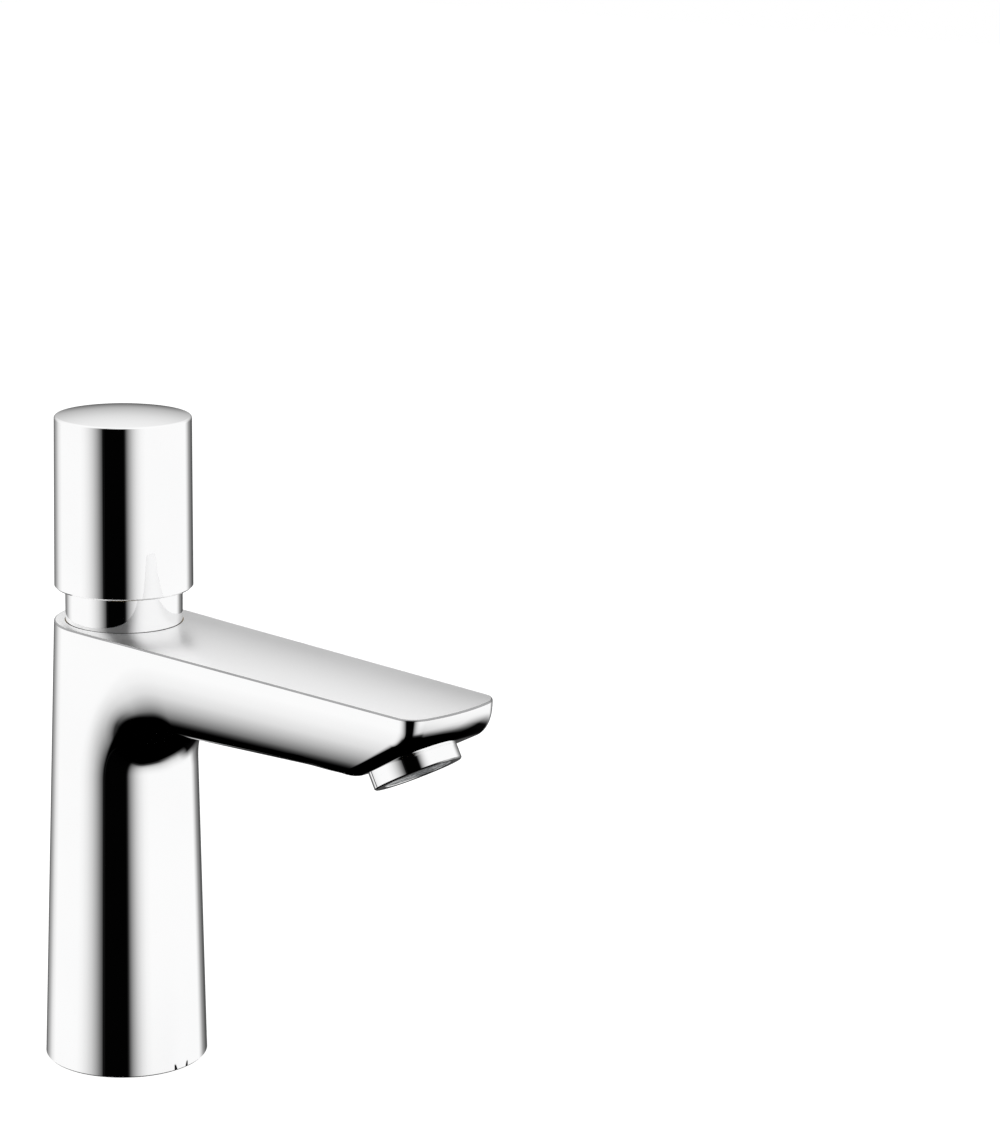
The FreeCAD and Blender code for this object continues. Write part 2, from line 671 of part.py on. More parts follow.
def latch_sleeve():
    """Fixed track of the latch: a tube with a saw-toothed crown at each end."""
    outer = LATCH_BORE_R - FIT_GAP
    low = GUIDE_HIGH_Z
    low_tip = ROTOR_Z - TRAVEL - LATCH_GAP
    high_tip = CLIP_Z + CLIP_T + LATCH_GAP
    low_root = low_tip - LATCH_TOOTH_H
    high_root = high_tip + LATCH_TOOTH_H
    tube = ring(outer - LATCH_WALL, outer, low, NECK_TOP_Z)
    crowns = [ring(LATCH_CROWN_R, outer, low, low_root), ring(LATCH_CROWN_R, outer, high_root, NECK_TOP_Z)]
    teeth = around(crown_tooth(low_root, low_tip), LATCH_TEETH)
    teeth += around(crown_tooth(high_root, high_tip), LATCH_TEETH)
    band = ring(LATCH_CROWN_R, outer - LATCH_WALL / 2, low, NECK_TOP_Z)
    teeth = [tooth.common(band) for tooth in teeth]
    return tube.fuse(crowns + teeth).removeSplitter()


STOP_RING_Z = NUT_SEAT_Z + NUT_T
STOP_RING_TOP = STOP_RING_Z + STOP_RING_T


def coil_path():
    """Centre line of the return spring: two arcs for each quarter turn of its helix."""
    low = STOP_RING_TOP + SPRING_WIRE_R
    climb = CARRIER_FLOOR_Z - SPRING_WIRE_R - low
    turn_all = 2 * math.pi * SPRING_TURNS

    def on_helix(angle):
        height = low + climb * angle / turn_all
        return V(SPRING_MEAN_R * math.cos(angle), SPRING_MEAN_R * math.sin(angle), height)

    def along(angle):
        way = V(-SPRING_MEAN_R * math.sin(angle), SPRING_MEAN_R * math.cos(angle), climb / turn_all)
        return way.normalize()

    edges = []
    for quarter in range(4 * SPRING_TURNS):
        first, last = quarter * math.pi / 2, (quarter + 1) * math.pi / 2
        start, end = on_helix(first), on_helix(last)
        way_in, way_out = along(first), along(last)
        chord, ways = end - start, way_in + way_out
        bend = 2 - 2 * way_in.dot(way_out)
        reach = (-chord.dot(ways) + math.sqrt(chord.dot(ways) ** 2 + bend * chord.dot(chord))) / bend
        corners = (start + way_in * reach, end - way_out * reach)
        joint = (corners[0] + corners[1]) * 0.5
        edges += [arc_to(start, corners[0], joint), arc_to(joint, corners[1], end)]
    return Part.Wire(edges), along(0)


def coil_gap(path):
    """Least distance between the wire of neighbouring turns, measured on points of the centre line."""
    points = path.discretize(Number=48 * SPRING_TURNS)
    nearest = min(a.distanceToPoint(b) for i, a in enumerate(points) for b in points[i + 24:])
    return nearest - 2 * SPRING_WIRE_R


def return_spring():
    """Coil that lifts the cap, between the stop ring and the carrier's floor."""
    path, way = coil_path()
    start = path.Edges[0].valueAt(path.Edges[0].FirstParameter)
    corners = Part.makeCircle(SPRING_WIRE_R, start, way).discretize(Number=SPRING_WIRE_SIDES + 1)
    section = Part.makePolygon(corners)
    print("least gap in the coil", round(coil_gap(path), 3), "mm")
    return path.makePipeShell([section], True, False)


def clamp_nut():
    """Threaded ring that holds the cartridge down; its collar carries the neck sleeve."""
    collar_top = STOP_RING_Z + NUT_COLLAR_H
    nut = disc(NUT_THREAD_R, NUT_SEAT_Z, STOP_RING_Z).fuse(disc(NUT_COLLAR_R, STOP_RING_Z, collar_top))
    slot = Part.makeBox(
        BASE_R, NUT_SLOT_WIDTH, NUT_SLOT_DEPTH + 1, V(0, -NUT_SLOT_WIDTH / 2, collar_top - NUT_SLOT_DEPTH)
    )
    bores = [
        disc(NECK_R + NUT_BORE_GAP, NUT_SEAT_Z - 1, STOP_RING_Z + 1),
        disc(NUT_COLLAR_R - NUT_COLLAR_WALL, STOP_RING_Z, collar_top + 1),
    ]
    return nut.cut(bores + around(slot, NUT_SLOTS)).removeSplitter()


def stop_ring():
    """Fixed ring with the lug that limits the turn of the cap."""
    outer = NUT_COLLAR_R - NUT_COLLAR_WALL - FIT_GAP
    flat = ring(NECK_R + FIT_GAP, outer, STOP_RING_Z, STOP_RING_TOP)
    lug = wedge(CARRIER_STEM_R, STOP_RING_TOP - 0.5, STOP_RING_TOP + STOP_LUG_H, 90, STOP_LUG_HALF_DEG)
    inner = disc(CARRIER_STEM_R - CARRIER_STEM_WALL, STOP_RING_Z, STOP_RING_TOP + STOP_LUG_H + 1)
    return flat.fuse(lug.cut(inner)).removeSplitter()


def neck_sleeve():
    """Polished sleeve between the body and the cap, screwed on the nut's collar."""
    low = SLEEVE_SEAT_Z
    ring_low = SLEEVE_TOP_Z - SLIDE_RING_DROP - SLIDE_RING_T
    cuts = [
        disc(NUT_COLLAR_R + FIT_GAP, low - 1, SLEEVE_TOP_Z + 1),
        ring(NECK_SLEEVE_R - SLEEVE_SEAL_WIDTH, BASE_R, low - 1, low + SLEEVE_SEAL_T),
        ring(NECK_SLEEVE_R - SLIDE_RING_SUNK, BASE_R, ring_low, ring_low + SLIDE_RING_T),
    ]
    return disc(NECK_SLEEVE_R, low, SLEEVE_TOP_Z).cut(cuts)


def sleeve_seal():
    outer = NECK_SLEEVE_R - SLEEVE_SEAL_SUNK
    return ring(NECK_SLEEVE_R - SLEEVE_SEAL_WIDTH, outer, SLEEVE_SEAT_Z, SLEEVE_SEAT_Z + SLEEVE_SEAL_T)


def slide_ring():
    """Plastic ring that guides the cap on the sleeve."""
    low = SLEEVE_TOP_Z - SLIDE_RING_DROP - SLIDE_RING_T
    inner = NECK_SLEEVE_R - SLIDE_RING_SUNK + FIT_GAP
    return ring(inner, CAP_BORE_R - SLIDE_GAP, low, low + SLIDE_RING_T)


CROWN_Z = CAP_RIM_Z - CAP_CROWN_T


def push_cap():
    """Polished cap: a shell with a slightly domed top."""
    wide, low, rim = CAP_R, CAP_LOW_Z, CAP_RIM_Z
    dome_r = (CAP_TOP_R ** 2 + CAP_DOME ** 2) / (2 * CAP_DOME)
    half = math.asin(CAP_TOP_R / dome_r) / 2
    crown = V(0, 0, rim + CAP_DOME)
    middle = V(dome_r * math.sin(half), 0, crown.z - dome_r + dome_r * math.cos(half))
    points = [
        V(CAP_TOP_R, 0, rim), V(wide, 0, low + CAP_RIM_CHAMFER), V(wide - CAP_RIM_CHAMFER, 0, low),
        V(CAP_BORE_R, 0, low), V(CAP_BORE_R, 0, CROWN_Z), V(0, 0, CROWN_Z), crown,
    ]
    edges = [Part.makeLine(a, b) for a, b in zip(points, points[1:])]
    edges.append(Part.Arc(crown, middle, points[0]).toShape())
    shell = Part.Face(Part.Wire(edges)).revolve(V(), V(0, 0, 1), 360)
    edge = [e for e in shell.Edges if abs(e.BoundBox.ZMin - rim) < 0.01 and e.BoundBox.XLength > CAP_TOP_R]
    return shell.makeFillet(CAP_EDGE_R, edge)


def cap_carrier():
    """Plastic core of the cap: stem with the stop gap, spring seat, ribs and square hub."""
    outer = CAP_BORE_R - FIT_GAP
    floor_top = CARRIER_FLOOR_Z + CARRIER_FLOOR_T
    stem_in = CARRIER_STEM_R - CARRIER_STEM_WALL
    rib = Part.makeBox(outer, CARRIER_RIB_T, CROWN_Z - floor_top + 1, V(0, -CARRIER_RIB_T / 2, floor_top - 1))
    rib = rib.common(disc(outer, CARRIER_FLOOR_Z, CROWN_Z))
    floor, hub = disc(outer, CARRIER_FLOOR_Z, floor_top), disc(CARRIER_HUB_R, floor_top, CROWN_Z)
    core = disc(CARRIER_STEM_R, CARRIER_LOW_Z, CARRIER_FLOOR_Z).fuse([floor, hub] + around(rib, CARRIER_RIBS))
    gap_half = TURN_DEG + STOP_LUG_HALF_DEG + STOP_GAP_DEG
    gap_top = STOP_RING_TOP + STOP_LUG_H + TRAVEL + 1
    square_low = ROD_SQUARE_TOP_Z - ROD_SQUARE_LENGTH
    cuts = [
        disc(stem_in, CARRIER_LOW_Z - 1, CARRIER_FLOOR_Z),
        wedge(BASE_R, CARRIER_LOW_Z - 1, gap_top, 90, gap_half),
        disc(ROD_R + FIT_GAP, CARRIER_FLOOR_Z - 1, square_low),
        square_bar(ROD_SQUARE + 2 * FIT_GAP, square_low - 1, ROD_SQUARE_TOP_Z),
        disc(SCREW_R + FIT_GAP, ROD_SQUARE_TOP_Z - 1, SCREW_SEAT_Z + 1),
        disc(SCREW_RECESS_R, SCREW_SEAT_Z, CROWN_Z + 1),
    ]
    return core.cut(cuts).removeSplitter()


def cap_screw():
    """Screw that ties the carrier to the rod."""
    head_top = SCREW_SEAT_Z + SCREW_HEAD_T
    shank = disc(SCREW_R, SCREW_SEAT_Z - SCREW_LENGTH, SCREW_SEAT_Z)
    slot = square_bar(SCREW_R, head_top - SCREW_HEAD_T / 2, head_top + 1)
    return shank.fuse(disc(SCREW_HEAD_R, SCREW_SEAT_Z, head_top)).cut(slot).removeSplitter()


INSERT_TOP = AERATOR_LIP_T + INSERT_T
SCREEN_TOP = INSERT_TOP + SCREEN_T


def aerator_housing():
    """Chromed ring that screws into the spout, with a lip that holds the insert."""
    collar = turned([
        (0, 0), (COLLAR_R - COLLAR_CHAMFER, 0), (COLLAR_R, COLLAR_CHAMFER),
        (COLLAR_R, COLLAR_TOP), (0, COLLAR_TOP),
    ])
    blank = collar.fuse(disc(AERATOR_THREAD_R, COLLAR_TOP - 1, AERATOR_TOP))
    bores = [
        disc(AERATOR_BORE_R - AERATOR_LIP, -1, AERATOR_TOP + 1),
        disc(AERATOR_BORE_R, AERATOR_LIP_T, AERATOR_TOP + 1),
    ]
    return along_outlet(blank.cut(bores).removeSplitter())


def hexagon(r, z_low, z_high, x, y):
    """Six-sided bar of this corner radius from z_low to z_high."""
    angles = [i * math.pi / 3 for i in range(6)]
    corners = [V(x + r * math.sin(angle), y + r * math.cos(angle), z_low) for angle in angles]
    return Part.Face(Part.makePolygon(corners + corners[:1])).extrude(V(0, 0, z_high - z_low))


def hole_field(r, pitch, rings, z_low, z_high):
    """Honeycomb of six-sided holes, as many rings as asked about the middle one."""
    holes = []
    for i in range(-rings, rings + 1):
        for j in range(-rings, rings + 1):
            if abs(i + j) <= rings:
                holes.append(hexagon(r, z_low, z_high, pitch * (i + j / 2), pitch * j * math.sqrt(3) / 2))
    return holes


def aerator_insert():
    """Jet former: a plastic plug full of straight holes."""
    plug = disc(AERATOR_BORE_R - FIT_GAP, AERATOR_LIP_T, INSERT_TOP)
    return along_outlet(plug.cut(hole_field(JET_HOLE_R, JET_PITCH, JET_RINGS, 0, INSERT_TOP + 1)))


def aerator_screen():
    """Perforated disc on top of the jet former."""
    plate = disc(AERATOR_BORE_R - FIT_GAP, INSERT_TOP, SCREEN_TOP)
    holes = hole_field(SCREEN_HOLE_R, JET_PITCH, SCREEN_RINGS, INSERT_TOP - 1, SCREEN_TOP + 1)
    return along_outlet(plate.cut(holes))


def flow_regulator():
    """Rubber disc with a ring of holes that evens out the flow."""
    plate = disc(AERATOR_BORE_R - FIT_GAP, SCREEN_TOP, SCREEN_TOP + REGULATOR_T)
    hole = hexagon(REGULATOR_HOLE_R, SCREEN_TOP - 1, SCREEN_TOP + REGULATOR_T + 1, REGULATOR_RING_R, 0)
    return along_outlet(plate.cut(around(hole, REGULATOR_HOLES)))


def aerator_washer():
    return along_outlet(ring(AERATOR_THREAD_R - WASHER_WIDTH, AERATOR_THREAD_R, AERATOR_TOP, SOCKET_DEPTH))


PIECES = [
    tap_body, base_seal, cartridge_base, inlet_seals, fixed_disc, mixing_disc, disc_driver,
    cartridge_housing, housing_seals, rod_seal, push_rod, valve_seal, latch_sleeve, latch_rotor,
    rotor_clip, return_spring, clamp_nut, stop_ring, neck_sleeve, sleeve_seal, slide_ring, cap_carrier,
    cap_screw, push_cap, aerator_housing, aerator_insert, aerator_screen, flow_regulator, aerator_washer,
]


def main():
    os.makedirs("parts", exist_ok=True)
    for piece in PIECES:
        shape = piece()
        if not shape.isValid():
            print("not valid:", piece.__name__)
        shape.exportStep("parts/" + piece.__name__ + ".step")
        print(piece.__name__, len(shape.Solids), "solids", round(shape.Volume, 1), "mm3")


main()
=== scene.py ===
"""Visual model of a basin mixer tap with a push-and-turn cap, built on the packed frame.

The outside of the casting is one smooth skin that is solved from its form: a cone, two flanks that are parts
of large rounds, a front that is round in plan and from the side, and rounded joins between them.
"""

import json
import math

import bpy
import numpy as np
from bpy.props import FloatProperty, FloatVectorProperty, IntProperty, PointerProperty
from mathutils import Matrix, Vector
from mathutils.geometry import tessellate_polygon


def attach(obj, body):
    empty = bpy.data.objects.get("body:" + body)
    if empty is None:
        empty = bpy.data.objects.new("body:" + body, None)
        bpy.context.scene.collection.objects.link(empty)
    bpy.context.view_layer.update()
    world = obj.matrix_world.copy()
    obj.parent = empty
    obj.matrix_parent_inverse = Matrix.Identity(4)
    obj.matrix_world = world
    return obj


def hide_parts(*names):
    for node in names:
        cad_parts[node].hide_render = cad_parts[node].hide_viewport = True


bl_info = {
    "name": "Basin mixer tap",
    "version": (1, 0, 0),
    "blender": (4, 5, 0),
    "location": "View3D > Sidebar > Tap",
    "description": "Builds the visible pieces, finishes and studio of a push-cap basin mixer",
    "category": "Object",
}

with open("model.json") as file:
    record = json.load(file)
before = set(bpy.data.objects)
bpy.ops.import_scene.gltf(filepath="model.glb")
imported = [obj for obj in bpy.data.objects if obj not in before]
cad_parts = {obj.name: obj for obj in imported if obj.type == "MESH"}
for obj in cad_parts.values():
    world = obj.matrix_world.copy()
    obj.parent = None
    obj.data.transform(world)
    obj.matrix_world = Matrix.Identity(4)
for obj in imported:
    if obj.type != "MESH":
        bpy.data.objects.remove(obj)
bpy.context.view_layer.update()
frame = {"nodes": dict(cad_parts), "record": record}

MM = 0.001
TINY = 1e-9
WELD = 1e-7
NOISE_LOW = 0.3
NOISE_HIGH = 0.7

# Solving of the skin: the step and the floors that keep a slope, a join of two nearly parallel surfaces and
# a share sound, how often points are pulled onto the skin, and how finely outline and sections are sampled
SLOPE_STEP = 2e-6
LEAST_STEEPNESS = 0.2
NEARLY_PARALLEL = 1e-7
LEAST_SHARE = 0.05
OUTLINE_ROUNDS = 3
SECTION_ROUNDS = 4
HOLE_ROUNDS = 30
OUTLINE_SAMPLES = 3001
SECTION_SAMPLES = 361
SECTION_STEPS = 24

# How far a ray looks for the skin: back and ahead along the top, sideways, down and ahead from the middle,
# and round a section
REAR_REACH = 30 * MM
FRONT_REACH = 160 * MM
SIDE_REACH = 30 * MM
COLUMN_REACH = 60 * MM
SPOUT_REACH = 45 * MM
SECTION_REACH = 50 * MM

ACROSS = np.array([1.0, 0.0, 0.0])
UPRIGHT = np.array([0.0, 0.0, 1.0])
MIDDLE_PLANE = np.array([0.0, 1.0, 1.0])
LEVEL_PLANE = np.array([1.0, 1.0, 0.0])


def length(name, millimetres, description):
    """Size property given in millimetres and kept in metres."""
    return FloatProperty(
        name=name, description=description, default=millimetres * MM,
        precision=5, subtype="DISTANCE", unit="LENGTH",
    )


def angle(name, degrees, description):
    """Angle property given in degrees."""
    return FloatProperty(
        name=name, description=description, default=math.radians(degrees), subtype="ANGLE", unit="ROTATION"
    )


def divisions(name, value, least, description):
    """Whole number that says how finely something is divided."""
    return IntProperty(name=name, description=description, default=value, min=least)


def colour(name, red, green, blue, description):
    """Colour property in linear light."""
    return FloatVectorProperty(
        name=name, description=description, default=(red, green, blue),
        size=3, min=0.0, max=1.0, subtype="COLOR",
    )


class TapCastingSizes(bpy.types.PropertyGroup):
    """Sizes of the casting: column, spout and hollows."""

    base_radius: length("Base radius", 23.9, "Radius of the column where it stands on the basin")
    column_top_radius: length("Column top radius", 20.2, "Radius of the column at its top")
    top_height: length("Top height", 132.4, "Height of the top plane over the column's axis")
    top_fall: angle("Top fall", 0.5, "Fall of the top plane toward the spout's tip")
    crown_radius: length("Crown radius", 85.0, "Radius of the faint crown that the top's reflections show")
    base_chamfer: length("Base chamfer", 0.4, "Broken edge of the base")
    spout_reach: length("Spout reach", 132.6, "Distance from the axis to the spout's tip")
    tip_half_width: length("Tip half width", 17.3, "Half width of the spout's top near its tip")
    front_plan_radius: length("Front plan radius", 60.0, "Radius of the spout's front seen from above")
    front_side_radius: length("Front side radius", 27.0, "Radius of the spout's front seen from the side")
    front_lean: angle("Front lean", 3.0, "Angle below level where the front's round starts")
    front_end: angle("Front end", 60.0, "Angle below level where the front's round goes on straight")
    flank_radius: length("Flank radius", 56.0, "Radius of the spout's flanks seen from its tip")
    corner_top_radius: length("Corner radius at the top", 7.0, "Corner between flank and front, at the top")
    corner_growth: length("Corner growth", -4.0, "Change of the corner round on its way down")
    corner_growth_depth: length("Corner growth depth", 16.0, "Depth over which the corner round changes")
    root_depth: length("Root depth", 26.5, "Depth of the spout where it leaves the column")
    under_rise: angle("Under rise", 2.9, "Rise of the spout's underside toward the tip")
    bend_radius: length("Bend radius", 3.0, "Round between the underside and the outlet flat")
    nose_radius: length("Nose radius", 10.5, "Round between the spout's front and the outlet flat")
    lower_edge_radius: length("Lower edge radius", 5.0, "Round along the spout's lower edges")
    bend_start: length("Bend start", 32.0, "Where the lower edge starts to tighten, behind the outlet")
    bend_length: length("Bend length", 15.0, "Distance in which the lower edge tightens to the bend's round")
    throat_reach: length("Throat reach", 15.5, "How far the throat's hollow reaches along column and spout")
    throat_turn: FloatProperty(
        name="Throat turn", default=1.2, description="How early round the throat the section is the spout's",
    )
    throat_power: FloatProperty(
        name="Throat power", description="2 is a circle; more makes the round tight in its middle",
        default=2.15, min=2.0,
    )
    throat_side_reach: length(
        "Throat side reach", 24.0, "Distance in which the column's side becomes the flank"
    )
    top_edge_radius: length("Top edge radius", 0.45, "Fine round of the top edge")
    well_radius: length("Well radius", 17.6, "Radius of the hose well in the base")
    well_depth: length("Well depth", 60.0, "Depth of the hose well")
    inlet_radius: length("Inlet radius", 4.46, "Radius of the two hose inlets")
    inlet_side: length("Inlet side", 7.5, "Distance of each inlet from the middle plane")
    inlet_back: length("Inlet back", 3.0, "Distance of the inlets behind the axis")
    stud_radius: length("Stud hole radius", 3.4, "Radius of the stud hole")
    stud_ahead: length("Stud ahead", 11.0, "Distance of the stud hole in front of the axis")
    inlet_depth: length("Inlet depth", 12.0, "Depth of the inlets and of the stud hole")
    seal_groove_inner: length("Seal groove inner radius", 20.1, "Inner radius of the base seal's groove")
    seal_groove_outer: length("Seal groove outer radius", 21.7, "Outer radius of the base seal's groove")
    seal_groove_depth: length("Seal groove depth", 1.5, "Depth of the base seal's groove")
    neck_hole_radius: length("Neck hole radius", 17.15, "Radius of the shallow seat of the neck sleeve")
    neck_seat_height: length("Neck seat height", 132.1, "Height of the neck sleeve's seat")
    nut_radius: length("Nut bore radius", 15.4, "Radius of the clamp nut's thread")
    nut_height: length("Nut seat height", 121.0, "Height of the clamp nut's seat")
    chamber_radius: length("Chamber radius", 14.6, "Radius of the cartridge chamber")
    chamber_height: length("Chamber floor height", 84.0, "Height of the chamber's floor")


class TapOutletSizes(bpy.types.PropertyGroup):
    """Sizes of the water outlet and its collar."""

    reach: length("Outlet reach", 117.2, "Distance of the outlet's middle from the column's axis")
    height: length("Outlet height", 110.6, "Height of the outlet's middle")
    tilt: angle("Outlet tilt", 30.0, "Lean of the outlet's axis")
    flat_lean: angle("Flat lean", 1.8, "How much less the flat round the outlet leans than the outlet")
    collar_radius: length("Collar radius", 12.5, "Radius of the collar")
    collar_shown: length("Collar shown", 4.7, "Length of the collar that stands out of the spout")
    collar_top: length("Collar length", 7.2, "Whole length of the collar")
    collar_chamfer: length("Collar chamfer", 0.35, "Broken edge of the collar")
    thread_radius: length("Thread radius", 11.95, "Radius of the aerator's thread")
    thread_top: length("Thread top", 11.7, "Distance from the outlet to the end of the thread")
    socket_depth: length("Socket depth", 12.9, "Depth of the socket from the outlet")
    bore_radius: length("Bore radius", 10.4, "Radius of the collar's bore")
    lip_radius: length("Lip radius", 9.6, "Radius of the opening in the collar's lip")
    lip_thickness: length("Lip thickness", 0.9, "Thickness of the lip")
    lip_round: length("Lip round", 0.25, "Round on the inner edge of the lip")
    fit_gap: length("Fit gap", 0.05, "Gap between the collar and its socket")
    cut_depth: length("Cut depth", 12.0, "Depth from the outlet in which the skin is cut away for the socket")


class TapCapSizes(bpy.types.PropertyGroup):
    """Sizes of the cap and of the neck sleeve."""

    cap_radius: length("Cap radius", 20.0, "Radius of the cap at its lower rim")
    cap_top_radius: length("Cap top radius", 19.65, "Radius of the cap at its top")
    cap_low: length("Cap rim height", 142.4, "Height of the cap's lower rim")
    cap_rim: length("Cap edge height", 192.3, "Height where wall and dome would meet")
    cap_dome: length("Cap dome", 2.0, "Rise of the cap's dome")
    cap_edge_radius: length("Cap edge radius", 0.8, "Round between wall and dome")
    cap_chamfer: length("Cap rim chamfer", 0.5, "Chamfer of the cap's lower rim")
    cap_bore_radius: length("Cap bore radius", 18.3, "Radius of the cap's bore")
    cap_crown: length("Cap crown height", 189.3, "Height of the cap's inner ceiling")
    sleeve_radius: length("Sleeve radius", 16.9, "Radius of the neck sleeve")
    sleeve_bore: length("Sleeve bore radius", 14.25, "Radius of the neck sleeve's bore")
    sleeve_low: length("Sleeve foot height", 132.1, "Height of the neck sleeve's foot")
    sleeve_top: length("Sleeve top height", 152.5, "Height of the neck sleeve's top")
    seal_width: length("Foot seal width", 0.9, "Width of the seal groove at the foot")
    seal_height: length("Foot seal height", 0.7, "Height of the seal groove at the foot")
    seal_skirt: length("Foot skirt", 0.1, "Thickness of the skirt that hides the foot seal")
    skirt_low: length("Skirt height", 132.4, "Height of the skirt's lower end")
    slide_groove_low: length("Slide groove height", 146.7, "Lower edge of the slide ring's groove")
    slide_groove_width: length("Slide groove width", 5.0, "Width of the slide ring's groove")
    slide_groove_depth: length("Slide groove depth", 0.6, "Depth of the slide ring's groove")
    edge_round: length("Edge round", 0.15, "Fine round on turned edges")


class TapMeshCounts(bpy.types.PropertyGroup):
    """How finely and by which sections the surfaces are divided."""

    around: divisions("Around", 192, 24, "Divisions of a full round")
    hole_around: divisions("Hole around", 48, 12, "Divisions round a small hole")
    half_section: divisions("Half section", 108, 24, "Points along half a section of the casting")
    column_rows: divisions("Column rows", 44, 4, "Sections up the column")
    back_rows: divisions("Back rows", 26, 4, "Sections behind the throat")
    spout_rows: divisions("Spout rows", 230, 40, "Sections along the top outline")
    edge_rows: divisions("Edge rows", 6, 2, "Steps over a fine round")
    dome_rows: divisions("Dome rows", 24, 4, "Steps over the cap's dome")
    fan_ahead: length("Fan ahead", 17.0, "Distance of the rear fan's line in front of the base")
    fan_height: length("Fan height", 87.0, "Height of the rear fan's line, about which the sections turn")
    nose_reach: length("Nose reach", 80.0, "Distance of the front fan's line in front of the axis")
    nose_height: length("Nose height", 160.0, "Height of the front fan's line")
    turn_length: length("Turn length", 6.0, "Length that counts as much as a turn by one radian")
    middle_depth: length("Middle depth", 21.0, "Greatest depth of a section's middle inside the skin")


# The form of the casting as a field: each function gives, for points in space, the signed distance to one
# surface (negative inside) and the direction in which it grows fastest.


def unit(vectors):
    """Vectors scaled to a length of one."""
    return vectors / np.maximum(np.linalg.norm(vectors, axis=-1, keepdims=True), TINY)


def outlet_axis(outlet):
    """Direction from the outlet up into the spout."""
    return np.array([0.0, math.sin(outlet.tilt), math.cos(outlet.tilt)])


def outlet_point(outlet):
    """Middle of the collar's lower face."""
    return np.array([0.0, -outlet.reach, outlet.height])


def top_z(form, y):
    """Height of the top plane, which falls evenly toward the tip."""
    return form.top_height + y * math.tan(form.top_fall)


def top_way(form):
    """Direction square to the top plane."""
    return np.array([0.0, -math.sin(form.top_fall), math.cos(form.top_fall)])


def front_y(form, x):
    """Front edge of the spout's top at a distance x from the middle: a circle about the front's axis."""
    return form.front_plan_radius - form.spout_reach - math.sqrt(form.front_plan_radius**2 - x**2)


def column_lean(form):
    """How much the column's radius shrinks for each unit of height."""
    return (form.base_radius - form.column_top_radius) / form.top_height


def column_radius(form, z):
    """Radius of the column at a height: the base radius less an even share of the height."""
    return form.base_radius - column_lean(form) * z


def throat_corner(form):
    """Point where the line of the column's front meets the line of the spout's underside."""
    z = form.top_height - form.root_depth
    return np.array([0.0, -column_radius(form, z), z])


def cone_field(form, p):
    """Distance to the cone whose radius shrinks evenly from the base to the top."""
    lean = column_lean(form)
    scale = 1 / math.hypot(1.0, lean)
    across = np.maximum(np.hypot(p[..., 0], p[..., 1]), TINY)
    distance = (across - column_radius(form, p[..., 2])) * scale
    normal = np.stack([p[..., 0] / across, p[..., 1] / across, np.full(across.shape, lean)], -1) * scale
    return distance, normal


def flank_field(form, p):
    """Distance to a large cylinder laid along one side of the spout, the same on both sides."""
    tip_y = front_y(form, form.tip_half_width)
    fall = tip_y * math.tan(form.top_fall)
    along = unit(np.array([form.tip_half_width - form.column_top_radius, tip_y, fall]))
    inward = np.array([-1.0, 0.0, 0.0])
    inward = unit(inward - along * (inward @ along))
    centre = np.array([form.column_top_radius, 0.0, form.top_height]) + inward * form.flank_radius
    side = np.sign(p[..., 0])
    q = np.stack([np.abs(p[..., 0]), p[..., 1], p[..., 2]], -1) - centre
    q = q - (q @ along)[..., None] * along
    away = np.linalg.norm(q, axis=-1)
    normal = q / np.maximum(away, TINY)[..., None]
    normal[..., 0] *= side
    return away - form.flank_radius, normal


def front_field(form, p):
    """Distance to the spout's front: an arc turned about an upright axis, which goes on straight below.

    With u out from the arc's middle and v up, it is hypot(u, v) - radius on the arc.
    """
    axis_y = form.front_plan_radius - form.spout_reach
    out = np.maximum(np.hypot(p[..., 0], p[..., 1] - axis_y), TINY)
    ring = form.front_plan_radius - form.front_side_radius * math.cos(form.front_lean)
    tip_z = top_z(form, -form.spout_reach)
    u, v = out - ring, p[..., 2] - tip_z - form.front_side_radius * math.sin(form.front_lean)
    away = np.maximum(np.hypot(u, v), TINY)
    dip = np.arctan2(-v, u)
    past = (dip > form.front_end) | (dip < -math.pi / 2)
    level = np.where(past, math.cos(form.front_end), u / away)
    upright = np.where(past, -math.sin(form.front_end), v / away)
    distance = u * level + v * upright - form.front_side_radius
    normal = np.stack([level * p[..., 0] / out, level * (p[..., 1] - axis_y) / out, upright], -1)
    return np.where(p[..., 1] > axis_y, -form.spout_reach, distance), normal


def hollow_field(form, p):
    """Depth behind the line of the column's front, the throat and the spout's underside, and how it grows.

    U and V are the distances from the column's front and from the underside, both counted from the middle
    of the throat's hollow. Between the two straights the line is (U^n + V^n)^(1/n) = reach. The last result
    tells how far round the hollow a point lies: 0 at the column and 1 at the spout.
    """
    reach, power = form.throat_reach, form.throat_power
    front_way = unit(np.array([0.0, 1.0, -column_lean(form)]))
    under_way = np.array([0.0, math.sin(form.under_rise), math.cos(form.under_rise)])
    offset = p - throat_corner(form)
    u, v = offset @ front_way + reach, offset @ under_way + reach
    high_u, high_v = np.maximum(u, TINY), np.maximum(v, TINY)
    mixed = (high_u**power + high_v**power) ** (1 / power)
    share_u, share_v = (high_u / mixed) ** (power - 1), (high_v / mixed) ** (power - 1)
    growth = share_u[..., None] * front_way + share_v[..., None] * under_way
    depth = np.where((u > 0) | (v > 0), mixed, np.maximum(u, v)) - reach
    size = np.linalg.norm(growth, axis=-1)
    return depth, growth / size[..., None], size, np.arctan2(high_v, high_u) / (math.pi / 2)


def outlet_flat_field(outlet, p):
    """Distance to the flat round the outlet, which is nearly square to the outlet's axis."""
    lean = outlet.tilt - outlet.flat_lean
    normal = -np.array([0.0, math.sin(lean), math.cos(lean)])
    foot = outlet_point(outlet) + outlet_axis(outlet) * outlet.collar_shown
    return (p - foot) @ normal, np.broadcast_to(normal, p.shape)


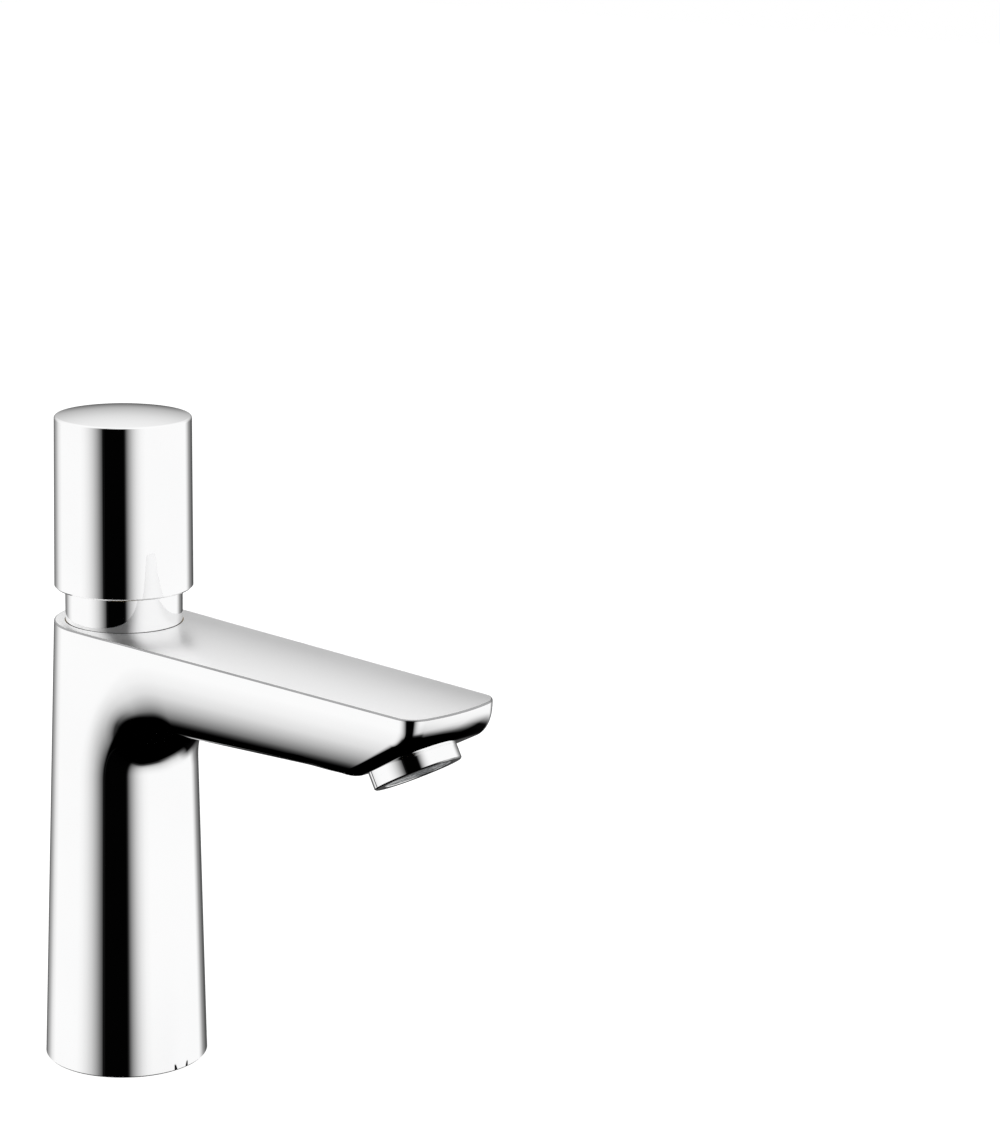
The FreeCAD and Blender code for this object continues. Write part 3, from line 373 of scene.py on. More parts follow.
def rounded(first, second, radius):
    """What is inside both surfaces, with a round of this radius along their edge.

    The point is measured from the middle of a ball that touches both surfaces from inside. Its offset is
    split along the two normals, and where both shares are positive the ball's own surface is the form.
    """
    (a, normal_a), (b, normal_b) = first, second
    cosine = np.sum(normal_a * normal_b, axis=-1)
    part = np.maximum(1 - cosine**2, NEARLY_PARALLEL)
    share_a = ((a + radius) - cosine * (b + radius)) / part
    share_b = ((b + radius) - cosine * (a + radius)) / part
    offset = share_a[..., None] * normal_a + share_b[..., None] * normal_b
    away = np.linalg.norm(offset, axis=-1)
    on_ball = (share_a > 0) & (share_b > 0)
    distance = np.where(on_ball, away - radius, np.maximum(a, b))
    sharp = np.where((a > b)[..., None], normal_a, normal_b)
    normal = np.where(on_ball[..., None], offset / np.maximum(away, TINY)[..., None], sharp)
    return distance, normal


def eased(share):
    """Share t from 0 to 1 with soft ends: 10 t^3 - 15 t^4 + 6 t^5."""
    share = np.clip(share, 0.0, 1.0)
    return share**3 * (10 - 15 * share + 6 * share**2)


def carried_flank(form, p, depth, growth):
    """The flank carried round the throat: its height over the underside is the depth behind the hollow."""
    corner = throat_corner(form)
    under_z = corner[2] - (p[..., 1] - corner[1]) * math.tan(form.under_rise)
    ceiling = np.maximum(p[..., 2], top_z(form, p[..., 1]))
    level = np.minimum(under_z + depth / math.cos(form.under_rise), ceiling)
    away, out = flank_field(form, np.stack([p[..., 0], p[..., 1], level], -1))
    return away, unit(out * LEVEL_PLANE + out[..., 2:] * growth)


def skin_distance(form, outlet, p):
    """Distance to the side skin of the whole casting, without its top.

    The column is round in plan: its half section is a quarter circle over the depth behind its front line.
    The same quarter circle is carried round the throat, where it changes softly into the section of the
    spout: flanks, front and outlet flat with rounds between them, and a round along the lower edge.
    """
    drop = np.maximum(top_z(form, p[..., 1]) - p[..., 2], 0.0)
    corner = form.corner_top_radius + form.corner_growth * np.tanh(drop / form.corner_growth_depth)
    depth, growth, size, turn = hollow_field(form, p)
    nose = rounded(front_field(form, p), outlet_flat_field(outlet, p), form.nose_radius)
    near_tip = eased((form.bend_start - outlet.reach - p[..., 1]) / form.bend_length)
    low_round = form.lower_edge_radius + (form.bend_radius - form.lower_edge_radius) * near_tip
    sides = rounded(carried_flank(form, p, depth, growth), nose, corner)
    spout = rounded(sides, (-depth / size, -growth), low_round)[0]
    radius = column_radius(form, p[..., 2])
    section = np.hypot(p[..., 0], np.maximum(radius - depth, 0.0)) - radius
    share = eased(turn * form.throat_turn) * eased(-p[..., 1] / form.throat_side_reach)
    carried = np.where(share > 0, section + (spout - section) * share, section)
    return np.where(p[..., 1] > 0, cone_field(form, p)[0], carried)


def skin_field(form, outlet, p):
    """Distance to the side skin and its normal, from small steps along each axis."""
    slopes = [
        skin_distance(form, outlet, p + way) - skin_distance(form, outlet, p - way)
        for way in np.eye(3) * SLOPE_STEP
    ]
    slope = np.stack(slopes, -1) / (2 * SLOPE_STEP)
    steepness = np.maximum(np.linalg.norm(slope, axis=-1), LEAST_STEEPNESS)
    return skin_distance(form, outlet, p) / steepness, unit(slope)


def leaving(form, outlet, start, way, reach, steps=34):
    """Points where lines from inside the casting leave its side skin: start + way * t, with t by halving."""
    low = np.zeros(way.shape[:-1])
    high = np.broadcast_to(reach, low.shape).astype(float)
    for _ in range(steps):
        middle = (low + high) / 2
        inside = skin_distance(form, outlet, start + way * middle[..., None]) < 0
        low = np.where(inside, middle, low)
        high = np.where(inside, high, middle)
    return start + way * ((low + high) / 2)[..., None]


class Shell:
    """Patches of triangles with their own normals, welded into one mesh."""

    def __init__(self):
        self.points, self.normals, self.triangles, self.slots = [], [], [], []
        self.count = 0

    def add(self, points, normals, triangles, slot=0):
        """One patch: its points, their normals and its triangles as rows of point numbers."""
        points, normals = points.reshape(-1, 3), normals.reshape(-1, 3)
        self.points.append(points)
        self.normals.append(normals)
        self.triangles.append(np.asarray(triangles, int).reshape(-1, 3) + self.count)
        self.slots.append(np.full(len(self.triangles[-1]), slot))
        self.count += len(points)

    def grid(self, points, normals, slot=0, closed=False):
        """Rows and columns of points, two triangles to a cell; closed joins the last column to the first."""
        rows, columns = points.shape[:2]
        index = np.arange(rows * columns).reshape(rows, columns)
        if closed:
            index = np.concatenate([index, index[:, :1]], axis=1)
        a, b, c, d = index[:-1, :-1], index[:-1, 1:], index[1:, 1:], index[1:, :-1]
        halves = [np.stack([a, b, c], -1), np.stack([a, c, d], -1)]
        self.add(points, normals, np.concatenate([half.reshape(-1, 3) for half in halves]), slot)

    def plate(self, loops, normals, slot=0):
        """Flat area bounded by the first loop, with the other loops as holes."""
        flat = [[Vector((x, y, 0.0)) for x, y, _ in loop] for loop in loops]
        self.add(np.concatenate(loops), normals, tessellate_polygon(flat), slot)

    def profile(self, runs, ways, slot=0):
        """Runs of (radius, height, normal) carried round the upright axis: radius * way, height."""
        for radius, height, out, up in runs:
            points = np.stack([radius[:, None] * ways[:, 0], radius[:, None] * ways[:, 1]], -1)
            level = np.broadcast_to(height[:, None, None], points.shape[:2] + (1,))
            normals = np.stack([out[:, None] * ways[:, 0], out[:, None] * ways[:, 1]], -1)
            rise = np.broadcast_to(up[:, None, None], level.shape)
            points, normals = np.concatenate([points, level], -1), np.concatenate([normals, rise], -1)
            self.grid(points, normals, slot, closed=True)

    def make(self, name, materials, placed=None):
        """One object: points that lie together are welded, and triangles are turned to face outwards."""
        points, normals = np.concatenate(self.points), np.concatenate(self.normals)
        triangles, slots = np.concatenate(self.triangles), np.concatenate(self.slots)
        corners, at = points[triangles], unit(normals)[triangles]
        facing = np.cross(corners[:, 1] - corners[:, 0], corners[:, 2] - corners[:, 0])
        turned_away = np.sum(facing * at.mean(axis=1), axis=-1) < 0
        triangles[turned_away] = triangles[turned_away][:, ::-1]
        cells = np.round(points / WELD).astype(np.int64)
        _, first, welded = np.unique(cells, axis=0, return_index=True, return_inverse=True)
        joined_up = welded.reshape(-1)[triangles]
        a, b, c = joined_up.T
        kept = (a != b) & (b != c) & (a != c)
        triangles, joined_up, slots = triangles[kept], joined_up[kept], slots[kept]
        places = points[first]
        loop_normals = unit(normals)[triangles].reshape(-1, 3)
        if placed is not None:
            turn, shift = placed
            places = places @ turn.T + shift
            loop_normals = loop_normals @ turn.T
        mesh = bpy.data.meshes.new(name)
        mesh.from_pydata(places.tolist(), [], joined_up.tolist())
        mesh.polygons.foreach_set("use_smooth", np.ones(len(joined_up), bool))
        mesh.polygons.foreach_set("material_index", slots.astype(np.int32))
        mesh.normals_split_custom_set(loop_normals.tolist())
        for material in materials:
            mesh.materials.append(material)
        mesh.update()
        made = bpy.data.objects.new(name, mesh)
        bpy.context.scene.collection.objects.link(made)
        return made


def line_runs(*corners):
    """Straight runs between corners of an outline, with the solid on the left as it goes.

    Each run's normal is its direction (dr, dz) turned to the right: (dz, -dr) over its length.
    """
    runs = []
    for (r0, z0), (r1, z1) in zip(corners, corners[1:]):
        long = math.hypot(r1 - r0, z1 - z0)
        out, up = (z1 - z0) / long, (r0 - r1) / long
        runs.append((np.array([r0, r1]), np.array([z0, z1]), np.array([out, out]), np.array([up, up])))
    return runs


def arc_run(centre, radius, start, end, steps):
    """Round run from one angle t to another: centre + radius * normal, with (cos t, sin t) as normal."""
    turn = np.linspace(start, end, steps + 1)
    out, up = np.cos(turn), np.sin(turn)
    return centre[0] + radius * out, centre[1] + radius * up, out, up


def circle_ways(count):
    """Unit directions round the upright axis, starting toward the spout."""
    turn = np.linspace(0, 2 * math.pi, count, endpoint=False)
    return np.stack([np.sin(turn), -np.cos(turn)], -1)


def sections(form, outlet, counts):
    """Cuts through the casting by planes that hold the X direction, from the base to the spout's tip.

    Going up the column the planes are level. Behind the throat they fan about a line under the spout until
    they stand upright, then they move along the spout, and last they fan about a line above it to the middle
    of the front edge. Each has an end point on the skin: the column's back, or the top outline.
    """
    pivot = np.array([0.0, -form.base_radius - counts.fan_ahead, counts.fan_height])
    nose = np.array([0.0, -counts.nose_reach, counts.nose_height])

    def on_outline(y):
        """Point of the side skin at this distance along the top, just where the fine top round begins."""
        depth = np.full(y.shape, form.top_edge_radius)
        for _ in range(OUTLINE_ROUNDS):
            start = np.stack([np.zeros_like(y), y, top_z(form, y) - depth], -1)
            found = leaving(form, outlet, start, np.broadcast_to(ACROSS, start.shape), SIDE_REACH)
            normal = skin_field(form, outlet, found)[1]
            depth = form.top_edge_radius * (1 - normal @ top_way(form))
        return found, normal

    ends = []
    for sign, reach in ((1.0, REAR_REACH), (-1.0, FRONT_REACH)):
        z = form.top_height - form.top_edge_radius
        start = np.array([[0.0, 0.0, z]])
        way = np.array([[0.0, sign, math.tan(form.top_fall) * sign]])
        ends.append(leaving(form, outlet, start, way, reach)[0])
    back, tip = ends
    share = np.linspace(0, math.pi, OUTLINE_SAMPLES)[1:-1]
    y = (back[1] + tip[1]) / 2 + (back[1] - tip[1]) / 2 * np.cos(share)
    found, normal = on_outline(y)
    step, turned = (np.linalg.norm(np.diff(rows, axis=0), axis=-1) for rows in (found, normal))
    along = np.concatenate([[0.0], np.cumsum(step + counts.turn_length * turned)])
    y = np.interp(np.linspace(0, along[-1], counts.spout_rows + 2)[1:-1], along, y)
    outline, outline_normal = on_outline(y)

    low = np.linspace(form.base_chamfer, pivot[2], counts.column_rows)
    high = np.linspace(pivot[2], back[2], counts.back_rows + 1)[1:]
    z = np.concatenate([low, high])
    rear = np.stack([np.zeros_like(z), column_radius(form, z), z], -1)
    forward = np.array([0.0, -1.0, 0.0])
    rear_way = np.where((z <= pivot[2])[:, None], forward, unit(pivot - rear))
    middle = outline * MIDDLE_PLANE
    before = (y > pivot[1])[:, None]
    beyond = (y < nose[1])[:, None]
    way = np.where(before, unit(pivot - middle), np.where(beyond, unit(middle - nose), -UPRIGHT))
    end = np.concatenate([rear, outline])
    way = np.concatenate([rear_way, way])
    tip = np.array([0.0, tip[1], top_z(form, tip[1]) - form.top_edge_radius])
    return end, way, len(rear), outline, outline_normal, tip


def evened(points, normals, count, turn_length):
    """Each row of points spread again, evenly by its length plus a share of its turning."""
    step = np.linalg.norm(np.diff(points, axis=1), axis=-1)
    step = step + turn_length * np.linalg.norm(np.diff(normals, axis=1), axis=-1)
    along = np.concatenate([np.zeros((len(points), 1)), np.cumsum(step, axis=1)], axis=1)
    target = np.linspace(0, 1, count)
    rows = [
        np.stack([np.interp(target * line[-1], line, row[:, k]) for k in range(3)], -1)
        for line, row in zip(along, points)
    ]
    return np.stack(rows)


def half_skin(form, outlet, counts):
    """Points and normals of the right half of the side skin, in rows from the base to the tip.

    In each section, rays from its middle find the skin: centre + distance * (cos t * way + sin t * across).
    The found points are spread evenly along the section and pulled onto the skin within its plane.
    """
    end, way, rear_count, outline, outline_normal, tip = sections(form, outlet, counts)
    middle = end * MIDDLE_PLANE
    reach = np.where(np.arange(len(end)) < rear_count, COLUMN_REACH, SPOUT_REACH)
    near = leaving(form, outlet, middle, way, reach)
    depth = np.linalg.norm(near - middle, axis=-1)
    centre = near - way * np.minimum(depth / 2, counts.middle_depth)[:, None]
    offset = end - centre
    last = np.arctan2(offset[:, 0], np.sum(offset * way, axis=-1))
    last[:rear_count] = math.pi
    turn = np.linspace(0, 1, SECTION_SAMPLES)[None, :] * last[:, None]
    lines = np.cos(turn)[..., None] * way[:, None] + np.sin(turn)[..., None] * ACROSS
    start = np.broadcast_to(centre[:, None], lines.shape)
    found = leaving(form, outlet, start, lines, SECTION_REACH, steps=SECTION_STEPS)
    normals = skin_field(form, outlet, found)[1]
    points = evened(found, normals, counts.half_section, counts.turn_length)
    square = np.cross(np.broadcast_to(ACROSS, way.shape), way)[:, None]
    for _ in range(SECTION_ROUNDS):
        distance, normal = skin_field(form, outlet, points)
        normal = normal - np.sum(normal * square, axis=-1)[..., None] * square
        share = np.maximum(np.sum(normal**2, axis=-1), LEAST_SHARE)
        points = points - distance[..., None] * normal / share[..., None]
    points[:, 0, 0] = 0.0
    points[:, -1] = end
    return points, skin_field(form, outlet, points)[1], rear_count, outline, outline_normal, tip


def mirrored(points):
    """The same points or directions on the other side of the middle plane."""
    return points * np.array([-1.0, 1.0, 1.0])


def pierce(points, normals, triangles, form, outlet, radius, depth):
    """Skin with a round hole cut along the outlet's axis, and the hole's edge in order round the axis.

    Triangles that cross the hole's wall are cut there. The new points are pulled onto both the skin and the
    wall, by steps along their normals.
    """
    axis, foot = outlet_axis(outlet), outlet_point(outlet)

    def wall(p):
        """Distance to the hole's wall, the way out from its axis, and the height above the outlet."""
        q = p - foot
        high = q @ axis
        q = q - high[..., None] * axis
        away = np.linalg.norm(q, axis=-1)
        return away - radius, q / np.maximum(away, TINY)[..., None], high

    beyond, _, high = wall(points)
    gone = (beyond < 0) & (high < depth)
    hits = gone[triangles].sum(axis=1)
    whole, cut = triangles[hits == 0], triangles[(hits == 1) | (hits == 2)]
    lone = hits[(hits == 1) | (hits == 2)] == 1
    inside = gone[cut]
    odd = np.where(lone[:, None], inside, ~inside).argmax(axis=1)
    rows = np.arange(len(cut))
    a, b, c = cut[rows, odd], cut[rows, (odd + 1) % 3], cut[rows, (odd + 2) % 3]
    edges = np.sort(np.concatenate([np.stack([a, b], -1), np.stack([a, c], -1)]), axis=1)
    pairs, which = np.unique(edges, axis=0, return_inverse=True)
    which = which.reshape(-1)
    ab, ac = which[: len(cut)] + len(points), which[len(cut) :] + len(points)
    share = (beyond[pairs[:, 0]] / (beyond[pairs[:, 0]] - beyond[pairs[:, 1]]))[:, None]
    fresh = points[pairs[:, 0]] * (1 - share) + points[pairs[:, 1]] * share
    for _ in range(HOLE_ROUNDS):
        distance, normal = skin_field(form, outlet, fresh)
        fresh = fresh - distance[:, None] * normal
        off, out, _ = wall(fresh)
        fresh = fresh - off[:, None] * out
    fresh_normals = skin_field(form, outlet, fresh)[1]
    made = [
        whole,
        np.stack([ab, b, c], -1)[lone], np.stack([ab, c, ac], -1)[lone],
        np.stack([a, ab, ac], -1)[~lone],
    ]
    side = np.cross(axis, ACROSS)
    out = wall(fresh)[1]
    order = np.argsort(np.arctan2(out @ side, out[:, 0]))
    return (
        np.concatenate([points, fresh]), np.concatenate([normals, fresh_normals]), np.concatenate(made),
        fresh[order], out[order],
    )


def build_casting(form, outlet, counts, materials):
    """The casting: side skin, top round, top plane, neck seat, cartridge chamber, well and outlet socket."""
    points, normals, rear_count, outline, outline_normal, tip = half_skin(form, outlet, counts)
    skin = Shell()
    skin.grid(points, normals)
    skin.grid(mirrored(points), mirrored(normals))
    tip_normal = skin_field(form, outlet, tip[None])[1][0]
    last = np.concatenate([points[-1], tip[None]])
    last_normals = np.concatenate([normals[-1], tip_normal[None]])
    index = np.arange(len(last) - 2)
    fan = np.stack([index, index + 1, np.full(len(index), len(last) - 1)], -1)
    skin.add(last, last_normals, fan)
    skin.add(mirrored(last), mirrored(last_normals), fan)
    cut_points, cut_normals, cut_triangles, edge, out = pierce(
        np.concatenate(skin.points), np.concatenate(skin.normals), np.concatenate(skin.triangles),
        form, outlet, outlet.collar_radius + outlet.fit_gap, outlet.cut_depth,
    )
    shell = Shell()
    shell.add(cut_points, cut_normals, cut_triangles)
    add_socket(shell, outlet, edge, out)
    add_top(shell, form, counts, points[rear_count - 1, -1], outline, outline_normal, tip, tip_normal)
    add_base(shell, form, counts, points[0])
    return shell.make("CastingVisual", materials)


def add_socket(shell, outlet, edge, out):
    """Stepped hole of the outlet, from its edge in the skin inward: foot + out * radius + axis * height."""
    axis, foot = outlet_axis(outlet), outlet_point(outlet)
    wide, narrow = outlet.collar_radius + outlet.fit_gap, outlet.thread_radius + outlet.fit_gap

    def ring_at(radius, high):
        """Points round the axis at one radius and height."""
        return foot + out * radius + axis * high

    down = np.broadcast_to(-axis, out.shape)
    steps = [
        (edge, ring_at(wide, outlet.collar_top), -out),
        (ring_at(wide, outlet.collar_top), ring_at(narrow, outlet.collar_top), down),
        (ring_at(narrow, outlet.collar_top), ring_at(narrow, outlet.socket_depth), -out),
        (ring_at(narrow, outlet.socket_depth), ring_at(0.0, outlet.socket_depth), down),
    ]
    for first, second, normal in steps:
        shell.grid(np.stack([first, second]), np.stack([normal, normal]), slot=1, closed=True)


def add_top(shell, form, counts, back, outline, outline_normal, tip, tip_normal):
    """Fine round along the top outline, the top plane and the shallow seat of the neck sleeve.

    The round goes from the skin's normal to the plane's: sin((1 - s) * w) and sin(s * w) over sin(w) are the
    two shares, for the angle w between them. The plane's normals lean as those of a faint crown: by the
    distance from the middle over the crown's radius.
    """
    up = top_way(form)
    back_normal = unit(np.array([[0.0, 1.0, column_lean(form)]]))
    right = np.concatenate([back[None], outline, tip[None]])
    right_normal = np.concatenate([back_normal, outline_normal, tip_normal[None]])
    middle = right - right_normal * form.top_edge_radius

    def crowned(p):
        """Normals of the faint crown over these points."""
        ahead, high = np.full(p.shape[:-1], up[1]), np.ones(p.shape[:-1])
        return unit(np.stack([p[..., 0] / form.crown_radius, ahead, high], -1))

    whole = np.arccos(np.clip(right_normal @ up, -1, 1))[:, None]
    share = np.linspace(0, 1, counts.edge_rows + 1)[None, :]
    first, last = np.sin((1 - share) * whole) / np.sin(whole), np.sin(share * whole) / np.sin(whole)
    turned = first[..., None] * right_normal[:, None] + last[..., None] * up
    points = middle[:, None] + turned * form.top_edge_radius
    edge = points[:, -1]
    shown = unit(first[..., None] * right_normal[:, None] + last[..., None] * crowned(edge)[:, None])
    # Slot 3 is the chrome painted dark: a painted shade line along the fine round of the top
    shell.grid(points, shown, slot=3)
    shell.grid(mirrored(points), mirrored(shown), slot=3)
    ways = circle_ways(counts.around)
    hole = np.stack([form.neck_hole_radius * ways[:, 0], form.neck_hole_radius * ways[:, 1]], -1)
    hole = np.concatenate([hole, top_z(form, hole[:, 1])[:, None]], axis=1)
    loop = np.concatenate([edge, mirrored(edge[1:-1])[::-1]])
    shell.plate([loop, hole], crowned(np.concatenate([loop, hole])), slot=2)
    seat = hole * LEVEL_PLANE + UPRIGHT * form.neck_seat_height
    inward = np.concatenate([-ways, np.zeros((len(ways), 1))], axis=1)
    shell.grid(np.stack([hole, seat]), np.stack([inward, inward]), closed=True)
    shell.profile(
        line_runs(
            (form.neck_hole_radius, form.neck_seat_height), (form.nut_radius, form.neck_seat_height),
            (form.nut_radius, form.nut_height), (form.chamber_radius, form.nut_height),
            (form.chamber_radius, form.chamber_height), (0.0, form.chamber_height),
        ),
        ways, slot=1,
    )


def add_base(shell, form, counts, first_row):
    """Chamfer, standing ring with the seal's groove, hose well, and its floor with inlets and stud hole.

    All but the holes in the floor are outlines of (radius, height) turned about the column's axis.
    """
    half = first_row[:, :2]
    ways = unit(np.concatenate([half, (half * np.array([-1.0, 1.0]))[1:-1][::-1]]))
    inner, outer = form.base_radius - form.base_chamfer, column_radius(form, form.base_chamfer)
    shell.profile(line_runs((form.seal_groove_outer, 0.0), (inner, 0.0), (outer, form.base_chamfer)), ways)
    near, far, deep = form.seal_groove_inner, form.seal_groove_outer, form.seal_groove_depth
    shell.profile(
        line_runs(
            (form.well_radius, form.well_depth), (form.well_radius, 0.0), (near, 0.0), (near, deep),
            (far, deep), (far, 0.0),
        ),
        ways, slot=1,
    )
    rim = np.concatenate([ways * form.well_radius, np.full((len(ways), 1), form.well_depth)], axis=1)
    fine = circle_ways(counts.hole_around)
    holes = []
    for x, y, radius in (
        (form.inlet_side, form.inlet_back, form.inlet_radius),
        (-form.inlet_side, form.inlet_back, form.inlet_radius),
        (0.0, -form.stud_ahead, form.stud_radius),
    ):
        edge = np.stack([x + fine[:, 0] * radius, y + fine[:, 1] * radius], -1)
        low = np.concatenate([edge, np.full((len(edge), 1), form.well_depth)], axis=1)
        high = low + UPRIGHT * form.inlet_depth
        inward = np.concatenate([-fine, np.zeros((len(fine), 1))], axis=1)
        shell.grid(np.stack([low, high]), np.stack([inward, inward]), slot=1, closed=True)
        shell.plate([high], np.broadcast_to(-UPRIGHT, high.shape), slot=1)
        holes.append(low)
    loops = [rim] + holes
    shell.plate(loops, np.broadcast_to(-UPRIGHT, (sum(map(len, loops)), 3)), slot=1)


def build_cap(cap, counts, materials):
    """The cap: leaning wall, domed top with a small round at its edge, bore and inner ceiling.

    The dome is a ball whose radius is (r^2 + h^2) / 2h for its rim radius r and rise h. The round's middle
    lies one radius inside both the wall and the dome.
    """
    low, rim = cap.cap_low, cap.cap_rim
    foot = np.array([cap.cap_radius, low + cap.cap_chamfer])
    top = np.array([cap.cap_top_radius, rim])
    way = (top - foot) / np.linalg.norm(top - foot)
    out = np.array([way[1], -way[0]])
    dome_r = (cap.cap_top_radius**2 + cap.cap_dome**2) / (2 * cap.cap_dome)
    dome_z = rim + cap.cap_dome - dome_r
    start = top - out * cap.cap_edge_radius - np.array([0.0, dome_z])
    along = start @ way
    back = along**2 - start @ start + (dome_r - cap.cap_edge_radius) ** 2
    middle = top - out * cap.cap_edge_radius + way * (-along + math.sqrt(back))
    wall_end = middle + out * cap.cap_edge_radius
    out_turn = math.atan2(out[1], out[0])
    dome_turn = math.atan2(middle[1] - dome_z, middle[0])
    runs = line_runs(
        (0.0, cap.cap_crown), (cap.cap_bore_radius, cap.cap_crown), (cap.cap_bore_radius, low),
        (cap.cap_radius - cap.cap_chamfer, low), tuple(foot), tuple(wall_end),
    )
    runs.append(arc_run(middle, cap.cap_edge_radius, out_turn, dome_turn, 2 * counts.edge_rows))
    runs.append(arc_run((0.0, dome_z), dome_r, dome_turn, math.pi / 2, counts.dome_rows))
    shell = Shell()
    shell.profile(runs, circle_ways(counts.around))
    return shell.make("CapVisual", materials)


def build_neck(cap, counts, materials):
    """The neck sleeve: an outline of (radius, height) turned about the column's axis.

    It has a groove at its foot for the dark seal and one near its top for the slide ring.
    """
    low, top, wide, bore = cap.sleeve_low, cap.sleeve_top, cap.sleeve_radius, cap.sleeve_bore
    fine = cap.edge_round
    seal_r, seal_top = wide - cap.seal_width, low + cap.seal_height
    groove_r, groove_low = wide - cap.slide_groove_depth, cap.slide_groove_low
    groove_top = groove_low + cap.slide_groove_width
    shell = Shell()
    skirt = wide - cap.seal_skirt
    runs = line_runs(
        (bore, top), (bore, low), (seal_r, low), (seal_r, seal_top), (skirt, seal_top),
        (skirt, cap.skirt_low), (wide, cap.skirt_low), (wide, groove_low), (groove_r, groove_low),
    )
    runs += line_runs(
        (groove_r, groove_low), (groove_r, groove_top), (wide, groove_top), (wide, top - fine)
    )
    runs.append(arc_run((wide - fine, top - fine), fine, 0.0, math.pi / 2, counts.edge_rows))
    runs += line_runs((wide - fine, top), (bore, top))
    shell.profile(runs, circle_ways(counts.around))
    return shell.make("NeckVisual", materials)


def build_collar(outlet, counts, materials):
    """The outlet's collar: an outline of (radius, height) turned about the outlet's axis.

    It has a rounded lip and a threaded end. It is made upright and then tilted with the outlet.
    """
    wide, edge, fine = outlet.collar_radius, outlet.collar_chamfer, outlet.lip_round
    lip, thick, bore = outlet.lip_radius, outlet.lip_thickness, outlet.bore_radius
    runs = line_runs((bore, outlet.thread_top), (bore, thick), (lip, thick), (lip, fine))
    runs.append(arc_run((lip + fine, fine), fine, math.pi, 1.5 * math.pi, counts.edge_rows))
    runs += line_runs(
        (lip + fine, 0.0), (wide - edge, 0.0), (wide, edge), (wide, outlet.collar_top),
        (outlet.thread_radius, outlet.collar_top), (outlet.thread_radius, outlet.thread_top),
        (bore, outlet.thread_top),
    )
    shell = Shell()
    shell.profile(runs, circle_ways(counts.around))
    turn = np.array(Matrix.Rotation(-outlet.tilt, 3, "X"))
    return shell.make("CollarVisual", materials, placed=(turn, outlet_point(outlet)))


def light(value):
    """Linear light of a display value from 0 to 255."""
    share = value / 255
    return share / 12.92 if share <= 0.04045 else ((share + 0.055) / 1.055) ** 2.4


def put(tree, kind, inputs=None, **settings):
    """New node with its settings; inputs are constants or the outputs that feed them."""
    node = tree.nodes.new(kind)
    for name, value in settings.items():
        setattr(node, name, value)
    for key, value in (inputs or {}).items():
        if isinstance(value, bpy.types.NodeSocket):
            tree.links.new(value, node.inputs[key])
        else:
            node.inputs[key].default_value = value
    return node


def effect_group(name, inputs, outputs):
    """Empty node group with these sockets, and its two end nodes."""
    group = bpy.data.node_groups.new(name, "ShaderNodeTree")
    for title, kind, value in inputs:
        socket = group.interface.new_socket(name=title, in_out="INPUT", socket_type=kind)
        socket.default_value = value
    for title, kind in outputs:
        group.interface.new_socket(name=title, in_out="OUTPUT", socket_type=kind)
    return group, group.nodes.new("NodeGroupInput"), group.nodes.new("NodeGroupOutput")


def noise(tree, vector, scale, detail=3.0, rough=0.55):
    """Noise texture at this scale."""
    inputs = {"Vector": vector, "Scale": scale, "Detail": detail, "Roughness": rough}
    return put(tree, "ShaderNodeTexNoise", inputs)


def ranged(tree, value, low, high, from_low=NOISE_LOW, from_high=NOISE_HIGH):
    """Value carried from one range to another, with soft ends."""
    return put(
        tree, "ShaderNodeMapRange",
        {"Value": value, "From Min": from_low, "From Max": from_high, "To Min": low, "To Max": high},
        interpolation_type="SMOOTHSTEP",
    ).outputs["Result"]


def blended(tree, factor, first, second):
    """Colours mixed by a factor, which may itself be a grey colour."""
    return put(
        tree, "ShaderNodeMix", {"Factor": factor, "A": first, "B": second}, data_type="RGBA"
    ).outputs["Result"]


def surface_group():
    """Shared surface detail: drifting tone, roughness and a fine relief, all from noise in object space."""
    group, start, end = effect_group(
        "TapSurfaceDetail",
        [
            ("Base", "NodeSocketColor", (0.8, 0.8, 0.8, 1.0)),
            ("Shade", "NodeSocketColor", (0.7, 0.7, 0.7, 1.0)),
            ("Patch Scale", "NodeSocketFloat", 60.0), ("Grain Scale", "NodeSocketFloat", 1500.0),
            ("Rough Low", "NodeSocketFloat", 0.2), ("Rough High", "NodeSocketFloat", 0.3),
        ],
        [("Color", "NodeSocketColor"), ("Roughness", "NodeSocketFloat"), ("Height", "NodeSocketFloat")],
    )
    place = group.nodes.new("ShaderNodeTexCoord").outputs["Object"]
    patch = noise(group, place, start.outputs["Patch Scale"], 4.0)
    grain = noise(group, place, start.outputs["Grain Scale"], 2.0)
    tone = ranged(group, patch.outputs["Fac"], 0.0, 1.0)
    mixed = put(group, "ShaderNodeMix", {"Factor": tone}, data_type="RGBA")
    group.links.new(start.outputs["Base"], mixed.inputs["A"])
    group.links.new(start.outputs["Shade"], mixed.inputs["B"])
    spread = {"Value": patch.outputs["Fac"], "From Min": NOISE_LOW, "From Max": NOISE_HIGH}
    rough = put(group, "ShaderNodeMapRange", spread)
    group.links.new(start.outputs["Rough Low"], rough.inputs["To Min"])
    group.links.new(start.outputs["Rough High"], rough.inputs["To Max"])
    group.links.new(mixed.outputs["Result"], end.inputs["Color"])
    group.links.new(rough.outputs["Result"], end.inputs["Roughness"])
    group.links.new(grain.outputs["Fac"], end.inputs["Height"])
    return group


